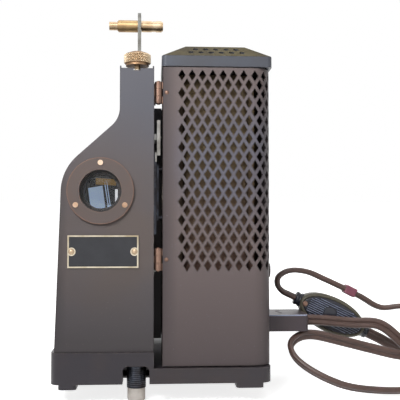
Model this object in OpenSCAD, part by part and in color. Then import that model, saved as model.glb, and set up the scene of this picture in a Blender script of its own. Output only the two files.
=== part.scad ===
/* [Base] */
// Width of the cast base
base_w = 136; // [130:1:150]
// Depth of the cast base, front to back
base_d = 160; // [156:1:180]
// Height of the raised block under the mechanism
block_h = 22.3; // [21:0.1:26]
// Height of the low deck under the lamp house and motor
deck_h = 12.4; // [12:0.1:14]
// Thickness of the base casting
base_wall = 4; // [3:0.5:4.5]
// Radius of the base's upright corners
base_corner_r = 7; // [4:0.5:10]
// Height of the cast feet below the rim
foot_h = 3; // [2.5:0.1:3.4]
// Width of the arch in front of the elevating screw
arch_w = 16.4; // [15.5:0.1:17.5]
// Height of the arch above the floor of the base
arch_h = 13.8; // [13:0.1:15]

/* [Elevating screw] */
// Diameter of the threaded screw
screw_d = 12; // [11:0.1:12.6]
// Pitch of the thread
screw_pitch = 1.25; // [1:0.05:1.5]
// Length of the threaded screw
screw_len = 26; // [22:1:30]
// Diameter of the plain foot on the screw
foot_tip_d = 11.2; // [10:0.1:11.6]
// How far the foot stands out below the base at rest
foot_out = 9; // [8:0.5:12]

/* [Mechanism housing] */
// Depth of the mechanism housing
house_d = 58; // [56:1:60]
// Wall of the mechanism housing
house_wall = 2; // [1.6:0.1:2.4]
// Height of the housing's top above the base's floor
house_top = 198; // [194:1:204]
// Width of the narrow tower
tower_w = 21.3; // [20:0.1:22]
// Depth that the housing front stands back from the base front
house_setback = 2; // [1.5:0.1:3]
// Thickness of the frame plate behind the mechanism
plate_t = 2.5; // [2:0.1:3]

/* [Lens] */
// Height of the optical axis above the base's floor
axis_h = 121.2; // [119:0.1:123]
// Outer diameter of the lens mount's flange
flange_d = 41.2; // [40:0.1:43]
// Thickness of the lens mount's flange
flange_t = 2; // [1.6:0.1:2.4]
// Bore of the lens mount
lens_bore_d = 26; // [25:0.1:26.5]
// Length of the lens barrel
barrel_len = 11; // [9:0.5:11.5]
// Circle that the mount's screws lie on
mount_pcd = 34.8; // [34.4:0.1:35.4]

/* [Lamp house] */
// Width of the lamp house
lamp_w = 68.2; // [67:0.1:69]
// Depth of the lamp house
lamp_d = 68; // [66:1:70]
// Thickness of its sheet steel
sheet_t = 1; // [0.8:0.1:1.2]
// Outer radius of its upright corners
lamp_corner_r = 11; // [9:0.5:13]
// Height of the sheet's top edge above the base's floor
lamp_top = 199.6; // [196:0.2:203]
// Gap between the mechanism housing and the lamp house
film_gap = 5.4; // [5.2:0.1:6.2]
// Width of one diamond perforation
diamond_w = 4.4; // [3.6:0.05:4.5]
// Height of one diamond perforation
diamond_h = 7; // [6:0.1:7.2]
// Sideways pitch of the perforations
diamond_px = 6.5; // [6.3:0.1:7]
// Upright pitch of the staggered rows
diamond_pz = 5.68; // [5.5:0.01:5.8]
// Number of rows of perforations
diamond_rows = 22; // [16:1:22]

/* [Lid] */
// Height of the lid's upright band
band_h = 6.8; // [6:0.1:8]
// Rise of the sloping roof
roof_rise = 9.5; // [7:0.1:10]
// Inset of the roof's flat top from the band
roof_inset = 15; // [13:0.5:18]
// Diameter of the vent holes in the roof
vent_d = 3.6; // [2.4:0.1:4]

/* [Reel arm] */
// Thickness of the flat steel arm
arm_t = 2.2; // [2:0.1:2.6]
// Width of the flat steel arm
arm_w = 14; // [12:0.5:15]
// Height of the arm's tip above the base's floor at rest
arm_tip_h = 252.4; // [248:0.2:260]
// Distance from the arm's tip down to the reel spindle
spindle_drop = 9.5; // [9:0.1:10]
// Diameter of the reel shaft that takes a reel
reel_shaft_d = 7.94; // [7.8:0.01:8]
// Diameter of the spindle's brass bearing
bearing_d = 8.5; // [8.2:0.1:9]

/* [Framing knob] */
// Diameter of the knurled framing knob
knob_d = 17; // [16:0.1:18]
// Height of the knob's knurled side
knob_h = 6; // [5:0.1:7]
// Number of knurls round the knob
knurls = 48; // [36:2:60]

/* [Motor] */
// Diameter of the motor
motor_d = 58; // [54:1:60]
// Length of the motor's casing
motor_len = 70; // [66:1:74]

/* [Plug and cord] */
// Length of the connector plug
plug_len = 29.5; // [26:0.5:32]
// Depth of the connector plug
plug_w = 34; // [32:0.5:36]
// Thickness of the connector plug
plug_t = 11; // [10.5:0.1:12]
// Width of the flat twin cord
cord_w = 7.3; // [6.8:0.1:7.8]
// Thickness of the flat twin cord
cord_t = 3.7; // [3.4:0.1:4]

/* [Hidden] */

// Finish of round surfaces
$fn = 48;
fine = 96;

// Clearances
run_gap = 0.05;
free_gap = 0.3;
thin_gap = 0.15;

// Heights, from the surface that the foot and rear feet stand on
floor_z = foot_out;
block_z = floor_z + block_h;
deck_z = floor_z + deck_h;
top_z = floor_z + house_top;
axis_z = floor_z + axis_h;
sheet_z = deck_z + 0.5;
sheet_top = floor_z + lamp_top;

// Main planes across and along the object
base_x = base_w / 2;
base_y = base_d / 2;
house_y0 = -base_y + house_setback;
house_y1 = house_y0 + house_d;
plate_y0 = house_y1 - plate_t;
lamp_x0 = 0.3;
lamp_x1 = lamp_x0 + lamp_w;
tower_x1 = lamp_x0 - film_gap;
tower_x0 = tower_x1 - tower_w;
lamp_y0 = house_y0 + 1;
lamp_y1 = lamp_y0 + lamp_d;
axis_y = house_y0 + 28;
axis_x = -38;
tower_x = (tower_x0 + tower_x1) / 2;
screw_y = -base_y + 10.5;

// Curved left side of the mechanism housing
waist_r = 15;
waist_top = top_z - 25;
shoulder_r = 30;
side_turn = 48;
side_x = -62.4;
side_lean = 3.3;
line_x = tower_x0 - waist_r * (1 - cos(side_turn));
line_z = waist_top - waist_r * sin(side_turn);
shoulder_z = line_z + (side_x + shoulder_r * (1 - cos(side_turn)) - line_x) / tan(side_turn)
  - shoulder_r * sin(side_turn);

// Drive inside the housing
gear_teeth = 26;
gear_module = 1;
gear_span = gear_teeth * gear_module;
main_y = axis_y + 13;
cross_z = axis_z - 14;
main_z = cross_z - sqrt(gear_span * gear_span - pow(main_y - axis_y, 2));
worm_r = 5.1;
worm_starts = 2;
wheel_teeth = 16;
wheel_r = 10.2;
sprocket_r = 14.3;
sprocket_x = lamp_x0 - film_gap + 1.3 - sprocket_r;
sprocket_z = main_z - worm_r - wheel_r + 1.4;
pulley_x = -57.5;
pulley_r = 8.5;
belt_r = 1.6;

// Motor behind the housings
motor_x = -3;
motor_y = base_y - 38;
motor_z = deck_z + 4 + motor_d / 2;
motor_pulley_r = 7;

// Framing knob and its rod in the tower
rod_y = house_y0 + 8;
knob_z = top_z + 4.2;
rod_r = 1.8;

// Reel arm, its guide and the spindle
arm_x = tower_x;
arm_y = house_y1 + 9;
arm_z1 = floor_z + arm_tip_h;
arm_z0 = top_z - 74;
reel_z = arm_z1 - spindle_drop;
reel_x0 = arm_x + arm_t / 2 + free_gap;
reel_x1 = reel_x0 + 15.4;
catch_x = reel_x0 + 8.8;
bearing_len = 14.6;
bearing_x0 = arm_x - arm_t / 2 - bearing_len;
spindle_r = 2.5;

// Take-up arm at the back
take_y = house_y1 + 14;
take_z = axis_z - 23.2;
take_len = 62;

// Lamp door and its hinges
hinge_x = (tower_x1 + lamp_x0) / 2;
hinge_y = lamp_y0 + 1.6;
hinge_r = 2.35;
hinge_pin_r = 1;
hinge_zs = [floor_z + 78.8, floor_z + 183];
knuckle_len = 4.4;
door_return = 27;
lamp_x = lamp_x0 + lamp_w / 2;
lamp_r = 14;

// Power inlet and plug
inlet_y = lamp_y0 + 48;
inlet_z = floor_z + 35;
pin_r = 2.4;
pin_pitch = 19;
plug_x0 = lamp_x1 + free_gap;
plug_x1 = plug_x0 + plug_len;

// A block between two corners
module block(a, b) {
  translate(a) cube([b[0] - a[0], b[1] - a[1], b[2] - a[2]]);
}

// A round bar along X, Y or Z between two places
module bar_x(r, x0, x1, y, z, fn = $fn) {
  translate([x0, y, z]) rotate([0, 90, 0]) cylinder(r = r, h = x1 - x0, $fn = fn);
}
module bar_y(r, y0, y1, x, z, fn = $fn) {
  translate([x, y0, z]) rotate([-90, 0, 0]) cylinder(r = r, h = y1 - y0, $fn = fn);
}
module bar_z(r, z0, z1, x, y, fn = $fn) {
  translate([x, y, z0]) cylinder(r = r, h = z1 - z0, $fn = fn);
}

// A flat rectangle with round corners, between two corners
module round_rect(a, b, r) {
  translate([a[0] + r, a[1]]) square([b[0] - a[0] - 2 * r, b[1] - a[1]]);
  translate([a[0], a[1] + r]) square([b[0] - a[0], b[1] - a[1] - 2 * r]);
  for (x = [a[0] + r, b[0] - r])
    for (y = [a[1] + r, b[1] - r])
      translate([x, y]) circle(r = r);
}

// A block with round upright corners
module round_block(a, b, r) {
  translate([0, 0, a[2]])
    linear_extrude(height = b[2] - a[2]) round_rect([a[0], a[1]], [b[0], b[1]], r);
}

// A front view outline, given a depth
module from_front(y0, y1) {
  translate([0, y1, 0]) rotate([90, 0, 0]) linear_extrude(height = y1 - y0) children();
}

// A side view outline in Y and Z, given a width
module from_side(x0, x1) {
  translate([x0, 0, 0]) rotate([90, 0, 90]) linear_extrude(height = x1 - x0) children();
}

// Base casting: raised block at the left front, low deck elsewhere, open below
module base_feet() {
  foot_depth = 14;
  for (y = [-base_y, base_y - foot_depth]) {
    round_block([-base_x + 5, y, floor_z], [-base_x + 16, y + foot_depth, floor_z + foot_h + 1], 2.5);
    round_block([base_x - 22, y, floor_z], [base_x - 5, y + foot_depth, floor_z + foot_h + 1], 2.5);
  }
}

module arch_cut(extra = 0) {
  arch_x = tower_x;
  from_front(-base_y - 1, screw_y + 7)
    union() {
      translate([arch_x - arch_w / 2, floor_z - 1]) square([arch_w, arch_h - 2]);
      translate([arch_x - arch_w / 2 + 3, floor_z - 1]) square([arch_w - 6, arch_h + 1]);
      for (x = [arch_x - arch_w / 2 + 3, arch_x + arch_w / 2 - 3])
        translate([x, floor_z + arch_h - 3]) circle(r = 3);
    }
}

module base() {
  rim_z = floor_z + foot_h;
  block_x1 = tower_x1 + 0.2;
  screw_boss_r = screw_d / 2 + 3;
  color([0.29, 0.26, 0.27])
    difference() {
      union() {
        difference() {
          union() {
            round_block([-base_x, -base_y, rim_z], [base_x, base_y, deck_z], base_corner_r);
            intersection() {
              round_block([-base_x, -base_y, rim_z], [base_x, base_y, block_z], base_corner_r);
              block([-base_x, -base_y, rim_z], [block_x1, house_y1 + 2, block_z]);
            }
          }
          round_block([-base_x + base_wall, -base_y + base_wall, rim_z - 1],
            [base_x - base_wall, base_y - base_wall, deck_z - base_wall], base_corner_r - base_wall + 0.5);
          round_block([-base_x + base_wall, -base_y + 18, rim_z - 1],
            [block_x1 - base_wall, house_y1 + 2 - base_wall, block_z - base_wall], 2.5);
        }
        base_feet();
        intersection() {
          bar_z(screw_boss_r, rim_z, block_z - 1, tower_x, screw_y);
          block([-base_x, -base_y + 1, rim_z], [block_x1, screw_y + 12, block_z]);
        }
      }
      arch_cut();
      bar_z(screw_d / 2 + run_gap, floor_z, block_z + 1, tower_x, screw_y, fine);
    }
}

// Sheet that closes the underside
module bottom_plate() {
  color([0.25, 0.24, 0.25])
    difference() {
      round_block([-base_x + base_wall + free_gap, -base_y + 20, floor_z + foot_h],
        [base_x - base_wall - free_gap, base_y - base_wall - free_gap, floor_z + foot_h + 1.2], 2.6);
      for (p = bottom_screw_places) bar_z(1.7, floor_z, floor_z + 6, p[0], p[1]);
      for (y = [base_y - 14.5])
        for (x = [[-base_x, -base_x + 16.5], [base_x - 22.5, base_x]])
          block([x[0], y, floor_z], [x[1], base_y, floor_z + 8]);
    }
}

bottom_screw_places = [for (y = [-base_y + 30, base_y - 22])
  for (x = [-1, 1]) [x * (base_x - 10), y]];

// Slotted cheese head screw pointing up
module case_screw(shank) {
  difference() {
    union() {
      translate([0, 0, -1.5]) cylinder(r = 3, h = 1.5);
      translate([0, 0, -0.1]) cylinder(r = 1.5, h = shank + 0.1);
    }
    block([-4, -0.4, -2], [4, 0.4, -0.8]);
  }
}

// The same screw holds the bottom sheet and the frame plate
module case_screws() {
  color([0.62, 0.6, 0.56]) {
    for (p = bottom_screw_places)
      translate([p[0], p[1], floor_z + foot_h]) case_screw(5.4);
    for (p = frame_screw_places)
      translate([p[0], house_y1, p[1]]) rotate([90, 0, 0]) case_screw(5.4);
  }
}

// Elevating screw: fine thread above, loose plain foot below
module elevating_screw() {
  z0 = floor_z - 0.4;
  grooves = floor(screw_len / screw_pitch);
  color([0.15, 0.16, 0.18])
    translate([tower_x, screw_y, z0])
      difference() {
        rotate_extrude($fn = fine)
          difference() {
            square([screw_d / 2, screw_len]);
            for (i = [0 : grooves - 1])
              translate([screw_d / 2, (i + 0.5) * screw_pitch])
                polygon([[0.01, 0.32], [-0.35, 0], [0.01, -0.32]]);
          }
        translate([0, 0, -1]) cylinder(r = 2.5 + run_gap, h = 7);
      }
}

module elevating_foot() {
  tip_z1 = floor_z - 0.7;
  color([0.78, 0.76, 0.74])
    translate([tower_x, screw_y, 0]) {
      rotate_extrude($fn = fine)
        union() {
          translate([0, 1.5]) square([foot_tip_d / 2, tip_z1 - 1.5]);
          square([foot_tip_d / 2 - 1.5, 2]);
          translate([foot_tip_d / 2 - 1.5, 1.5]) circle(r = 1.5, $fn = 32);
        }
      translate([0, 0, tip_z1 - 1]) cylinder(r = 2.5, h = 6);
    }
}

// Points along an arc
function arc(cx, cz, r, a0, a1, n) =
  [for (i = [0 : n]) let (a = a0 + (a1 - a0) * i / n) [cx + r * cos(a), cz + r * sin(a)]];

// Front outline of the mechanism housing, drawn in by t
module house_outline(t = 0) {
  z0 = block_z - (t > 0 ? 1 : 0);
  z1 = top_z + (t > 0 ? 1 : 0);
  polygon(concat(
    [[tower_x1 - t, z0], [tower_x1 - t, z1], [tower_x0 + t, z1]],
    arc(tower_x0 - waist_r, waist_top, waist_r + t, 0, -side_turn, 12),
    arc(side_x + shoulder_r, shoulder_z, shoulder_r - t, 180 - side_turn, 180, 16),
    [[side_x - side_lean + t, z0]]));
}

// Pressed housing with open top, open back and the beam's window at the right
module mechanism_housing() {
  color([0.42, 0.4, 0.4])
    difference() {
      from_front(house_y0, plate_y0) house_outline();
      from_front(house_y0 + house_wall, house_y1 + 1) house_outline(house_wall);
      bar_y(lens_bore_d / 2 + 2.6, house_y0 - 1, house_y0 + 5, axis_x, axis_z, fine);
      for (a = mount_angles)
        bar_y(1.05, house_y0 - 1, house_y0 + 5, axis_x + mount_pcd / 2 * cos(a), axis_z + mount_pcd / 2 * sin(a));
      bar_z(2.1 + thin_gap, top_z - 3, top_z + 1, tower_x, rod_y);
      block([tower_x - 2.2, house_y0 - 1, top_z - 1.4], [tower_x + 2.2, house_y0 + 4, top_z + 2]);
      block([tower_x1 - 4, axis_y - 7, axis_z - 6], [tower_x1 + 1, axis_y + 7, axis_z + 6]);
      block([tower_x1 - 4, axis_y - 9, sprocket_z - 9.8], [tower_x1 + 1, axis_y + 9, sprocket_z + 9.8]);
      block([tower_x1 - 4, axis_y - 8.6, axis_z - 24], [tower_x1 + 1, axis_y - 5.4, axis_z - 10]);
      bar_x(2 + free_gap, tower_x1 - 4, tower_x1 + 1, axis_y, cross_z);
    }
}

// Angles of the lens mount's screws
mount_angles = [90, 210, 330];

// Top of the strip that keeps stray light out of the gap beside the gate
guard_z = top_z - 16;
module frame_plate() {
  color([0.5, 0.5, 0.5])
    difference() {
      union() {
        from_front(plate_y0 + 0.05, house_y1) house_outline();
        block([tower_x1 - 1, plate_y0 + 0.05, block_z], [lamp_x0 - free_gap, house_y1, guard_z]);
      }
      bar_y(3 + run_gap, plate_y0 - 1, house_y1 + 1, sprocket_x, sprocket_z, fine);
      for (z = [belt_low_z, belt_high_z])
        block([pulley_x - 2.5, plate_y0 - 1, z - 4.5], [pulley_x + 2.5, house_y1 + 1, z + 4.5]);
      for (p = frame_screw_places) bar_y(1.6, plate_y0 - 1, house_y1 + 1, p[0], p[1]);
      from_front(plate_y0 - 1, house_y1 + 1)
        translate([tower_x0 + house_wall, top_z - 12]) square([tower_w - 2 * house_wall, 20]);
    }
}

frame_screw_places = [[-59, block_z + 5], [tower_x1 - 5, block_z + 5], [-50, axis_z + 16],
  [tower_x1 - 5, axis_z + 18]];

// Lens mount: flange on the housing front with a tube behind it
module lens_mount() {
  color([0.36, 0.3, 0.26])
    difference() {
      union() {
        bar_y(flange_d / 2, house_y0 - flange_t, house_y0, axis_x, axis_z, fine);
        bar_y(lens_bore_d / 2 + 2.5, house_y0 - 0.1, house_y0 + 13.8, axis_x, axis_z, fine);
      }
      bar_y(lens_bore_d / 2, house_y0 - flange_t - 1, house_y0 + 20, axis_x, axis_z, fine);
      for (a = mount_angles)
        bar_y(1.05, house_y0 - flange_t - 1, house_y0 + 1,
          axis_x + mount_pcd / 2 * cos(a), axis_z + mount_pcd / 2 * sin(a));
    }
}

module mount_screws() {
  color([0.75, 0.73, 0.7])
    for (a = mount_angles)
      translate([axis_x + mount_pcd / 2 * cos(a), 0, axis_z + mount_pcd / 2 * sin(a)])
        difference() {
          union() {
            bar_y(1.65, house_y0 - flange_t - 0.7, house_y0 - flange_t, 0, 0);
            bar_y(1, house_y0 - flange_t - 0.1, house_y0 + 3.5, 0, 0);
          }
          rotate([0, a, 0]) block([-2, house_y0 - flange_t - 1, -0.25], [2, house_y0 - flange_t - 0.4, 0.25]);
        }
}

// Lens barrel and its two lenses, focused by hand along the mount
barrel_y0 = house_y0 + 4;
barrel_r = lens_bore_d / 2 - 0.04;
module lens_barrel() {
  color([0.2, 0.18, 0.17])
    difference() {
      bar_y(barrel_r, barrel_y0, barrel_y0 + barrel_len, axis_x, axis_z, fine);
      bar_y(barrel_r - 2.2, barrel_y0 - 1, barrel_y0 + barrel_len + 1, axis_x, axis_z, fine);
      bar_y(barrel_r - 1.2, barrel_y0 - 1, barrel_y0 + 3.2, axis_x, axis_z, fine);
      bar_y(barrel_r - 1.2, barrel_y0 + barrel_len - 3.2, barrel_y0 + barrel_len + 1, axis_x, axis_z, fine);
    }
}

module lens_disc(y0) {
  r = barrel_r - 1.2;
  bulge = 60;
  thick = 3;
  translate([axis_x, y0, axis_z]) rotate([-90, 0, 0])
    rotate_extrude($fn = fine)
      intersection() {
        square([r, thick]);
        translate([0, bulge]) circle(r = bulge, $fn = 360);
        translate([0, thick - bulge]) circle(r = bulge, $fn = 360);
      }
}
module lens_glasses() {
  color([0.7, 0.8, 0.86, 0.5])
    for (y = [barrel_y0 + 0.2, barrel_y0 + barrel_len - 3.2]) lens_disc(y);
}

// Bare name plate with raised rim, held by two rivets
plate_x = [-57.9, -14.5];
plate_z = [floor_z + 73.8, floor_z + 93.8];
rivet_places = [plate_x[0] + 2.4, plate_x[1] - 2.4];
module name_plate() {
  color([0.1, 0.11, 0.15])
    difference() {
      union() {
        block([plate_x[0], house_y0 - 0.9, plate_z[0]], [plate_x[1], house_y0, plate_z[1]]);
      }
      difference() {
        block([plate_x[0] + 0.9, house_y0 - 2, plate_z[0] + 0.9],
          [plate_x[1] - 0.9, house_y0 - 0.55, plate_z[1] - 0.9]);
        for (x = rivet_places)
          bar_y(2.6, house_y0 - 3, house_y0, x, (plate_z[0] + plate_z[1]) / 2);
      }
      for (x = rivet_places)
        bar_y(1.1, house_y0 - 2, house_y0 + 1, x, (plate_z[0] + plate_z[1]) / 2);
    }
}
module plate_rivets() {
  color([0.8, 0.76, 0.66])
    for (x = rivet_places)
      translate([x, 0, (plate_z[0] + plate_z[1]) / 2]) {
        bar_y(1.05, house_y0 - 1, house_y0, 0, 0);
        intersection() {
          translate([0, house_y0 + 0.6, 0]) sphere(r = 2.4);
          bar_y(1.9, house_y0 - 3, house_y0 - 0.9, 0, 0);
        }
      }
}

// Mirror at 45 degrees that turns the beam from the gate out through the lens
mirror_t = 1.6;
mirror_w = 24;
mirror_h = 20;
module mirror() {
  color([0.85, 0.88, 0.92])
    translate([axis_x, axis_y, axis_z])
      rotate([0, 0, 45]) translate([-mirror_w / 2, 0, -mirror_h / 2]) cube([mirror_w, mirror_t, mirror_h]);
}
module mirror_bracket() {
  foot_t = 2;
  half_h = mirror_h / 2 + 1;
  color([0.45, 0.44, 0.43]) {
    translate([axis_x, axis_y, axis_z]) rotate([0, 0, 45])
      translate([-mirror_w / 2, mirror_t, -half_h]) cube([mirror_w, 1.6, 2 * half_h]);
    translate([axis_x, axis_y, axis_z]) rotate([0, 0, 45])
      translate([-mirror_w / 2 + 1, -1.2, -half_h + 0.02]) cube([mirror_w - 2, mirror_t + 2, 0.93]);
    block([axis_x - 7, axis_y - 1.8, axis_z - half_h + 1.5], [axis_x - 4.2, plate_y0 - 1, axis_z + half_h - 1.5]);
    block([axis_x - 13, plate_y0 - foot_t, axis_z - half_h + 0.6],
      [axis_x - 3, plate_y0 + 0.05, axis_z + half_h - 0.6]);
  }
}

// Aperture plate on the housing's right wall, with rails for the film's edges
gate_z = [axis_z - 27, axis_z + 27];
module gate_plate() {
  x0 = tower_x1;
  color([0.72, 0.71, 0.68])
    difference() {
      union() {
        block([x0, axis_y - 10.5, gate_z[0]], [x0 + 0.8, axis_y + 10.5, gate_z[1]]);
        for (y = [axis_y - 10.5, axis_y + 8.3])
          block([x0, y, gate_z[0]], [x0 + 1.6, y + 2.2, gate_z[1]]);
      }
      block([x0 - 1, axis_y - 5.15, axis_z - 3.75], [x0 + 3, axis_y + 5.15, axis_z + 3.75]);
      block([x0 - 1, axis_y - 8, axis_z - 23], [x0 + 3, axis_y - 6, axis_z - 11]);
    }
}

// Sprung plate that holds the film flat against the gate
module pressure_plate() {
  x0 = tower_x1 + 2;
  color([0.78, 0.77, 0.75])
    difference() {
      union() {
        block([x0, axis_y - 7.8, axis_z - 18], [x0 + 1, axis_y + 7.8, axis_z + 18]);
        for (z = [axis_z - 16, axis_z + 16])
          bar_x(1.5, x0 + 0.9, lamp_x0 + 3, axis_y, z);
      }
      block([x0 - 1, axis_y - 5.6, axis_z - 4.2], [x0 + 3, axis_y + 5.6, axis_z + 4.2]);
      block([x0 - 1, axis_y - 8, axis_z - 14.9], [x0 + 3, axis_y - 6, axis_z - 11]);
    }
}

// Claw that pulls the film down, in a guide beside the gate
module film_claw() {
  x0 = tower_x1 - house_wall - 1.6;
  z = axis_z - 14;
  color([0.7, 0.68, 0.62]) {
    block([x0 - 0.8, axis_y - 8.4, z - 18], [x0 + 0.8, axis_y - 5.6, z + 1.2]);
    block([x0, axis_y - 7.5, z], [tower_x1 + 1.7, axis_y - 6.5, z + 1.2]);
  }
}

// Toothed wheel outline
module gear_outline(teeth, module_size, slack = 0.12) {
  pitch_r = teeth * module_size / 2;
  root_r = pitch_r - 1.2 * module_size;
  tip_r = pitch_r + 0.85 * module_size;
  half = 90 / teeth;
  gap = slack / pitch_r * 57.3;
  union() {
    circle(r = root_r, $fn = fine);
    for (i = [0 : teeth - 1])
      rotate(i * 360 / teeth)
        polygon([
          [(root_r - 0.3) * cos(half * 1.5 - gap), -(root_r - 0.3) * sin(half * 1.5 - gap)],
          [pitch_r * cos(half - gap), -pitch_r * sin(half - gap)],
          [tip_r * cos(half * 0.45), -tip_r * sin(half * 0.45)],
          [tip_r * cos(half * 0.45), tip_r * sin(half * 0.45)],
          [pitch_r * cos(half - gap), pitch_r * sin(half - gap)],
          [(root_r - 0.3) * cos(half * 1.5 - gap), (root_r - 0.3) * sin(half * 1.5 - gap)]]);
  }
}

// Spur gear on a shaft along X
module gear_x(teeth, module_size, x0, x1, y, z, turn = 0) {
  translate([x0, y, z]) rotate([90, 0, 90])
    linear_extrude(height = x1 - x0) rotate(turn) gear_outline(teeth, module_size);
}

// Shafts along the width, one with the belt pulley and worm, one with the shutter
gear_x0 = -53.5;
gear_x1 = -50;
gear_angle = atan2(cross_z - main_z, axis_y - main_y);
module main_shaft() {
  color([0.66, 0.65, 0.63]) {
    bar_x(2.5, pulley_x - 3.4, tower_x1 - 3.6, main_y, main_z);
    gear_x(gear_teeth, gear_module, gear_x0, gear_x1, main_y, main_z, gear_angle);
  }
}
module shutter_shaft() {
  color([0.66, 0.65, 0.63]) {
    bar_x(2, gear_x0 - 4, tower_x1 - 0.3, axis_y, cross_z);
    gear_x(gear_teeth, gear_module, gear_x0, gear_x1, axis_y, cross_z, gear_angle + 180 + 180 / gear_teeth);
  }
}

// Shutter disc with two openings, and the claw's cam beside it
module shutter_disc() {
  x0 = tower_x1 - house_wall - 7;
  disc_r = axis_z - cross_z + 5;
  color([0.3, 0.3, 0.31])
    difference() {
      union() {
        bar_x(disc_r, x0, x0 + 0.8, axis_y, cross_z, fine);
        bar_x(5, x0 - 4, x0 + 0.1, axis_y, cross_z);
      }
      bar_x(2, x0 - 5, x0 + 2, axis_y, cross_z);
      for (a = [0, 180])
        translate([x0 - 1, axis_y, cross_z]) rotate([a, 0, 0]) rotate([90, 0, 90])
          linear_extrude(height = 3)
            intersection() {
              difference() {
                circle(r = disc_r + 1, $fn = fine);
                circle(r = 9, $fn = fine);
              }
              polygon([[0, 0], [40, -26], [40, 26]]);
            }
    }
}

module main_pulley() {
  color([0.55, 0.53, 0.5])
    translate([pulley_x, main_y, main_z]) rotate([0, 90, 0])
      difference() {
        rotate_extrude($fn = fine)
          difference() {
            translate([0, -3]) square([pulley_r + belt_r, 6]);
            translate([pulley_r, -belt_r]) square([3 * belt_r, 2 * belt_r]);
          }
        translate([0, 0, -5]) cylinder(r = 2.5, h = 10);
      }
}

// Two start worm, as a twisted outline
worm_len = 14;
worm_lead = 2 * PI * worm_starts * (wheel_r - 0.8) / wheel_teeth;
module worm() {
  root_r = worm_r - 1.7;
  color([0.62, 0.6, 0.55])
    translate([sprocket_x - worm_len / 2, main_y, main_z]) rotate([0, 90, 0]) rotate(90 - 180 * worm_len / worm_lead)
      difference() {
        linear_extrude(height = worm_len, twist = -360 * worm_len / worm_lead, slices = 16)
          polygon([for (i = [0 : 15])
            let (a = i * 22.5, lobe = pow(max(0, cos(worm_starts * a)), 0.8), r = root_r + (worm_r - root_r) * lobe)
            [r * cos(a), r * sin(a)]]);
        translate([0, 0, -1]) cylinder(r = 2.5, h = worm_len + 2);
      }
}

module sprocket_shaft() {
  knob_y0 = house_y1 + 3;
  color([0.66, 0.65, 0.63])
    bar_y(3, axis_y - 12, knob_y0 + 6, sprocket_x, sprocket_z);
}

module worm_wheel() {
  color([0.72, 0.6, 0.35])
    translate([sprocket_x, main_y + 1.5, sprocket_z]) rotate([90, 0, 0])
      difference() {
        linear_extrude(height = 3)
          rotate(90) gear_outline(wheel_teeth, 2 * (wheel_r - 1.2) / wheel_teeth, 0.6);
        translate([0, 0, -1]) cylinder(r = 3, h = 6);
      }
}

// Film sprocket: a drum with two rows of teeth
module film_sprocket() {
  drum_r = sprocket_r - 1;
  color([0.7, 0.69, 0.66])
    difference() {
      union() {
        bar_y(drum_r, axis_y - 7.5, axis_y + 7.5, sprocket_x, sprocket_z, fine);
        for (i = [0 : 11])
          translate([sprocket_x, 0, sprocket_z]) rotate([0, i * 30, 0])
            for (y = [axis_y - 6.8, axis_y + 5.6])
              block([drum_r - 1, y, -0.5], [sprocket_r, y + 1.2, 0.5]);
      }
      bar_y(3, axis_y - 9, axis_y + 9, sprocket_x, sprocket_z);
    }
}

// Film roller in the gap above the gate, with its bracket
roller_x = hinge_x;
roller_z = axis_z + 36;
module guide_roller() {
  color([0.72, 0.7, 0.66])
    difference() {
      bar_y(1.9, axis_y - 8, axis_y + 8, roller_x, roller_z);
      bar_y(0.9 + run_gap, axis_y - 9, axis_y + 9, roller_x, roller_z);
    }
}
module roller_bracket() {
  color([0.5, 0.5, 0.48]) {
    bar_y(0.9, axis_y - 10, axis_y + 10, roller_x, roller_z);
    for (y = [axis_y - 9.6, axis_y + 8.4])
      block([tower_x1, y, roller_z - 2], [roller_x + 1.2, y + 1.2, roller_z + 2]);
  }
}

// Knurled framing knob on a rod in the tower
module framing_knob() {
  top_r = 5;
  color([0.78, 0.66, 0.5])
    translate([tower_x, rod_y, knob_z])
      difference() {
        union() {
          difference() {
            cylinder(r = knob_d / 2, h = knob_h, $fn = fine);
            for (i = [0 : knurls - 1])
              rotate(i * 360 / knurls) translate([knob_d / 2 + 0.15, 0, -1]) rotate(45)
                translate([-0.4, -0.4, 0]) cube([0.8, 0.8, knob_h + 2]);
          }
          translate([0, 0, knob_h]) intersection() {
            cylinder(r = knob_d / 2 - 0.8, h = 2, $fn = fine);
            translate([0, 0, 2.1 - 20]) sphere(r = 20, $fn = fine);
          }
          translate([0, 0, -1.5]) cylinder(r = knob_d / 2 - 1.2, h = 1.6, $fn = fine);
        }
        translate([0, 0, -2]) cylinder(r = rod_r, h = 5);
      }
}
module framing_rod() {
  color([0.74, 0.62, 0.45])
    translate([tower_x, rod_y, 0]) {
      translate([0, 0, axis_z + 24]) cylinder(r = rod_r, h = knob_z + 3 - axis_z - 24);
      translate([0, 0, axis_z + 24]) cylinder(r = 3, h = 3);
    }
}
module framing_bush() {
  bush_z0 = top_z - 12;
  color([0.7, 0.7, 0.7])
    difference() {
      union() {
        bar_z(2.1, bush_z0, top_z + 0.6, tower_x, rod_y);
        block([tower_x0 + house_wall, rod_y - 3, bush_z0], [tower_x1 - house_wall, rod_y + 3, bush_z0 + 6]);
      }
      bar_z(rod_r + run_gap, bush_z0 - 1, top_z + 2, tower_x, rod_y);
    }
}

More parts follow.
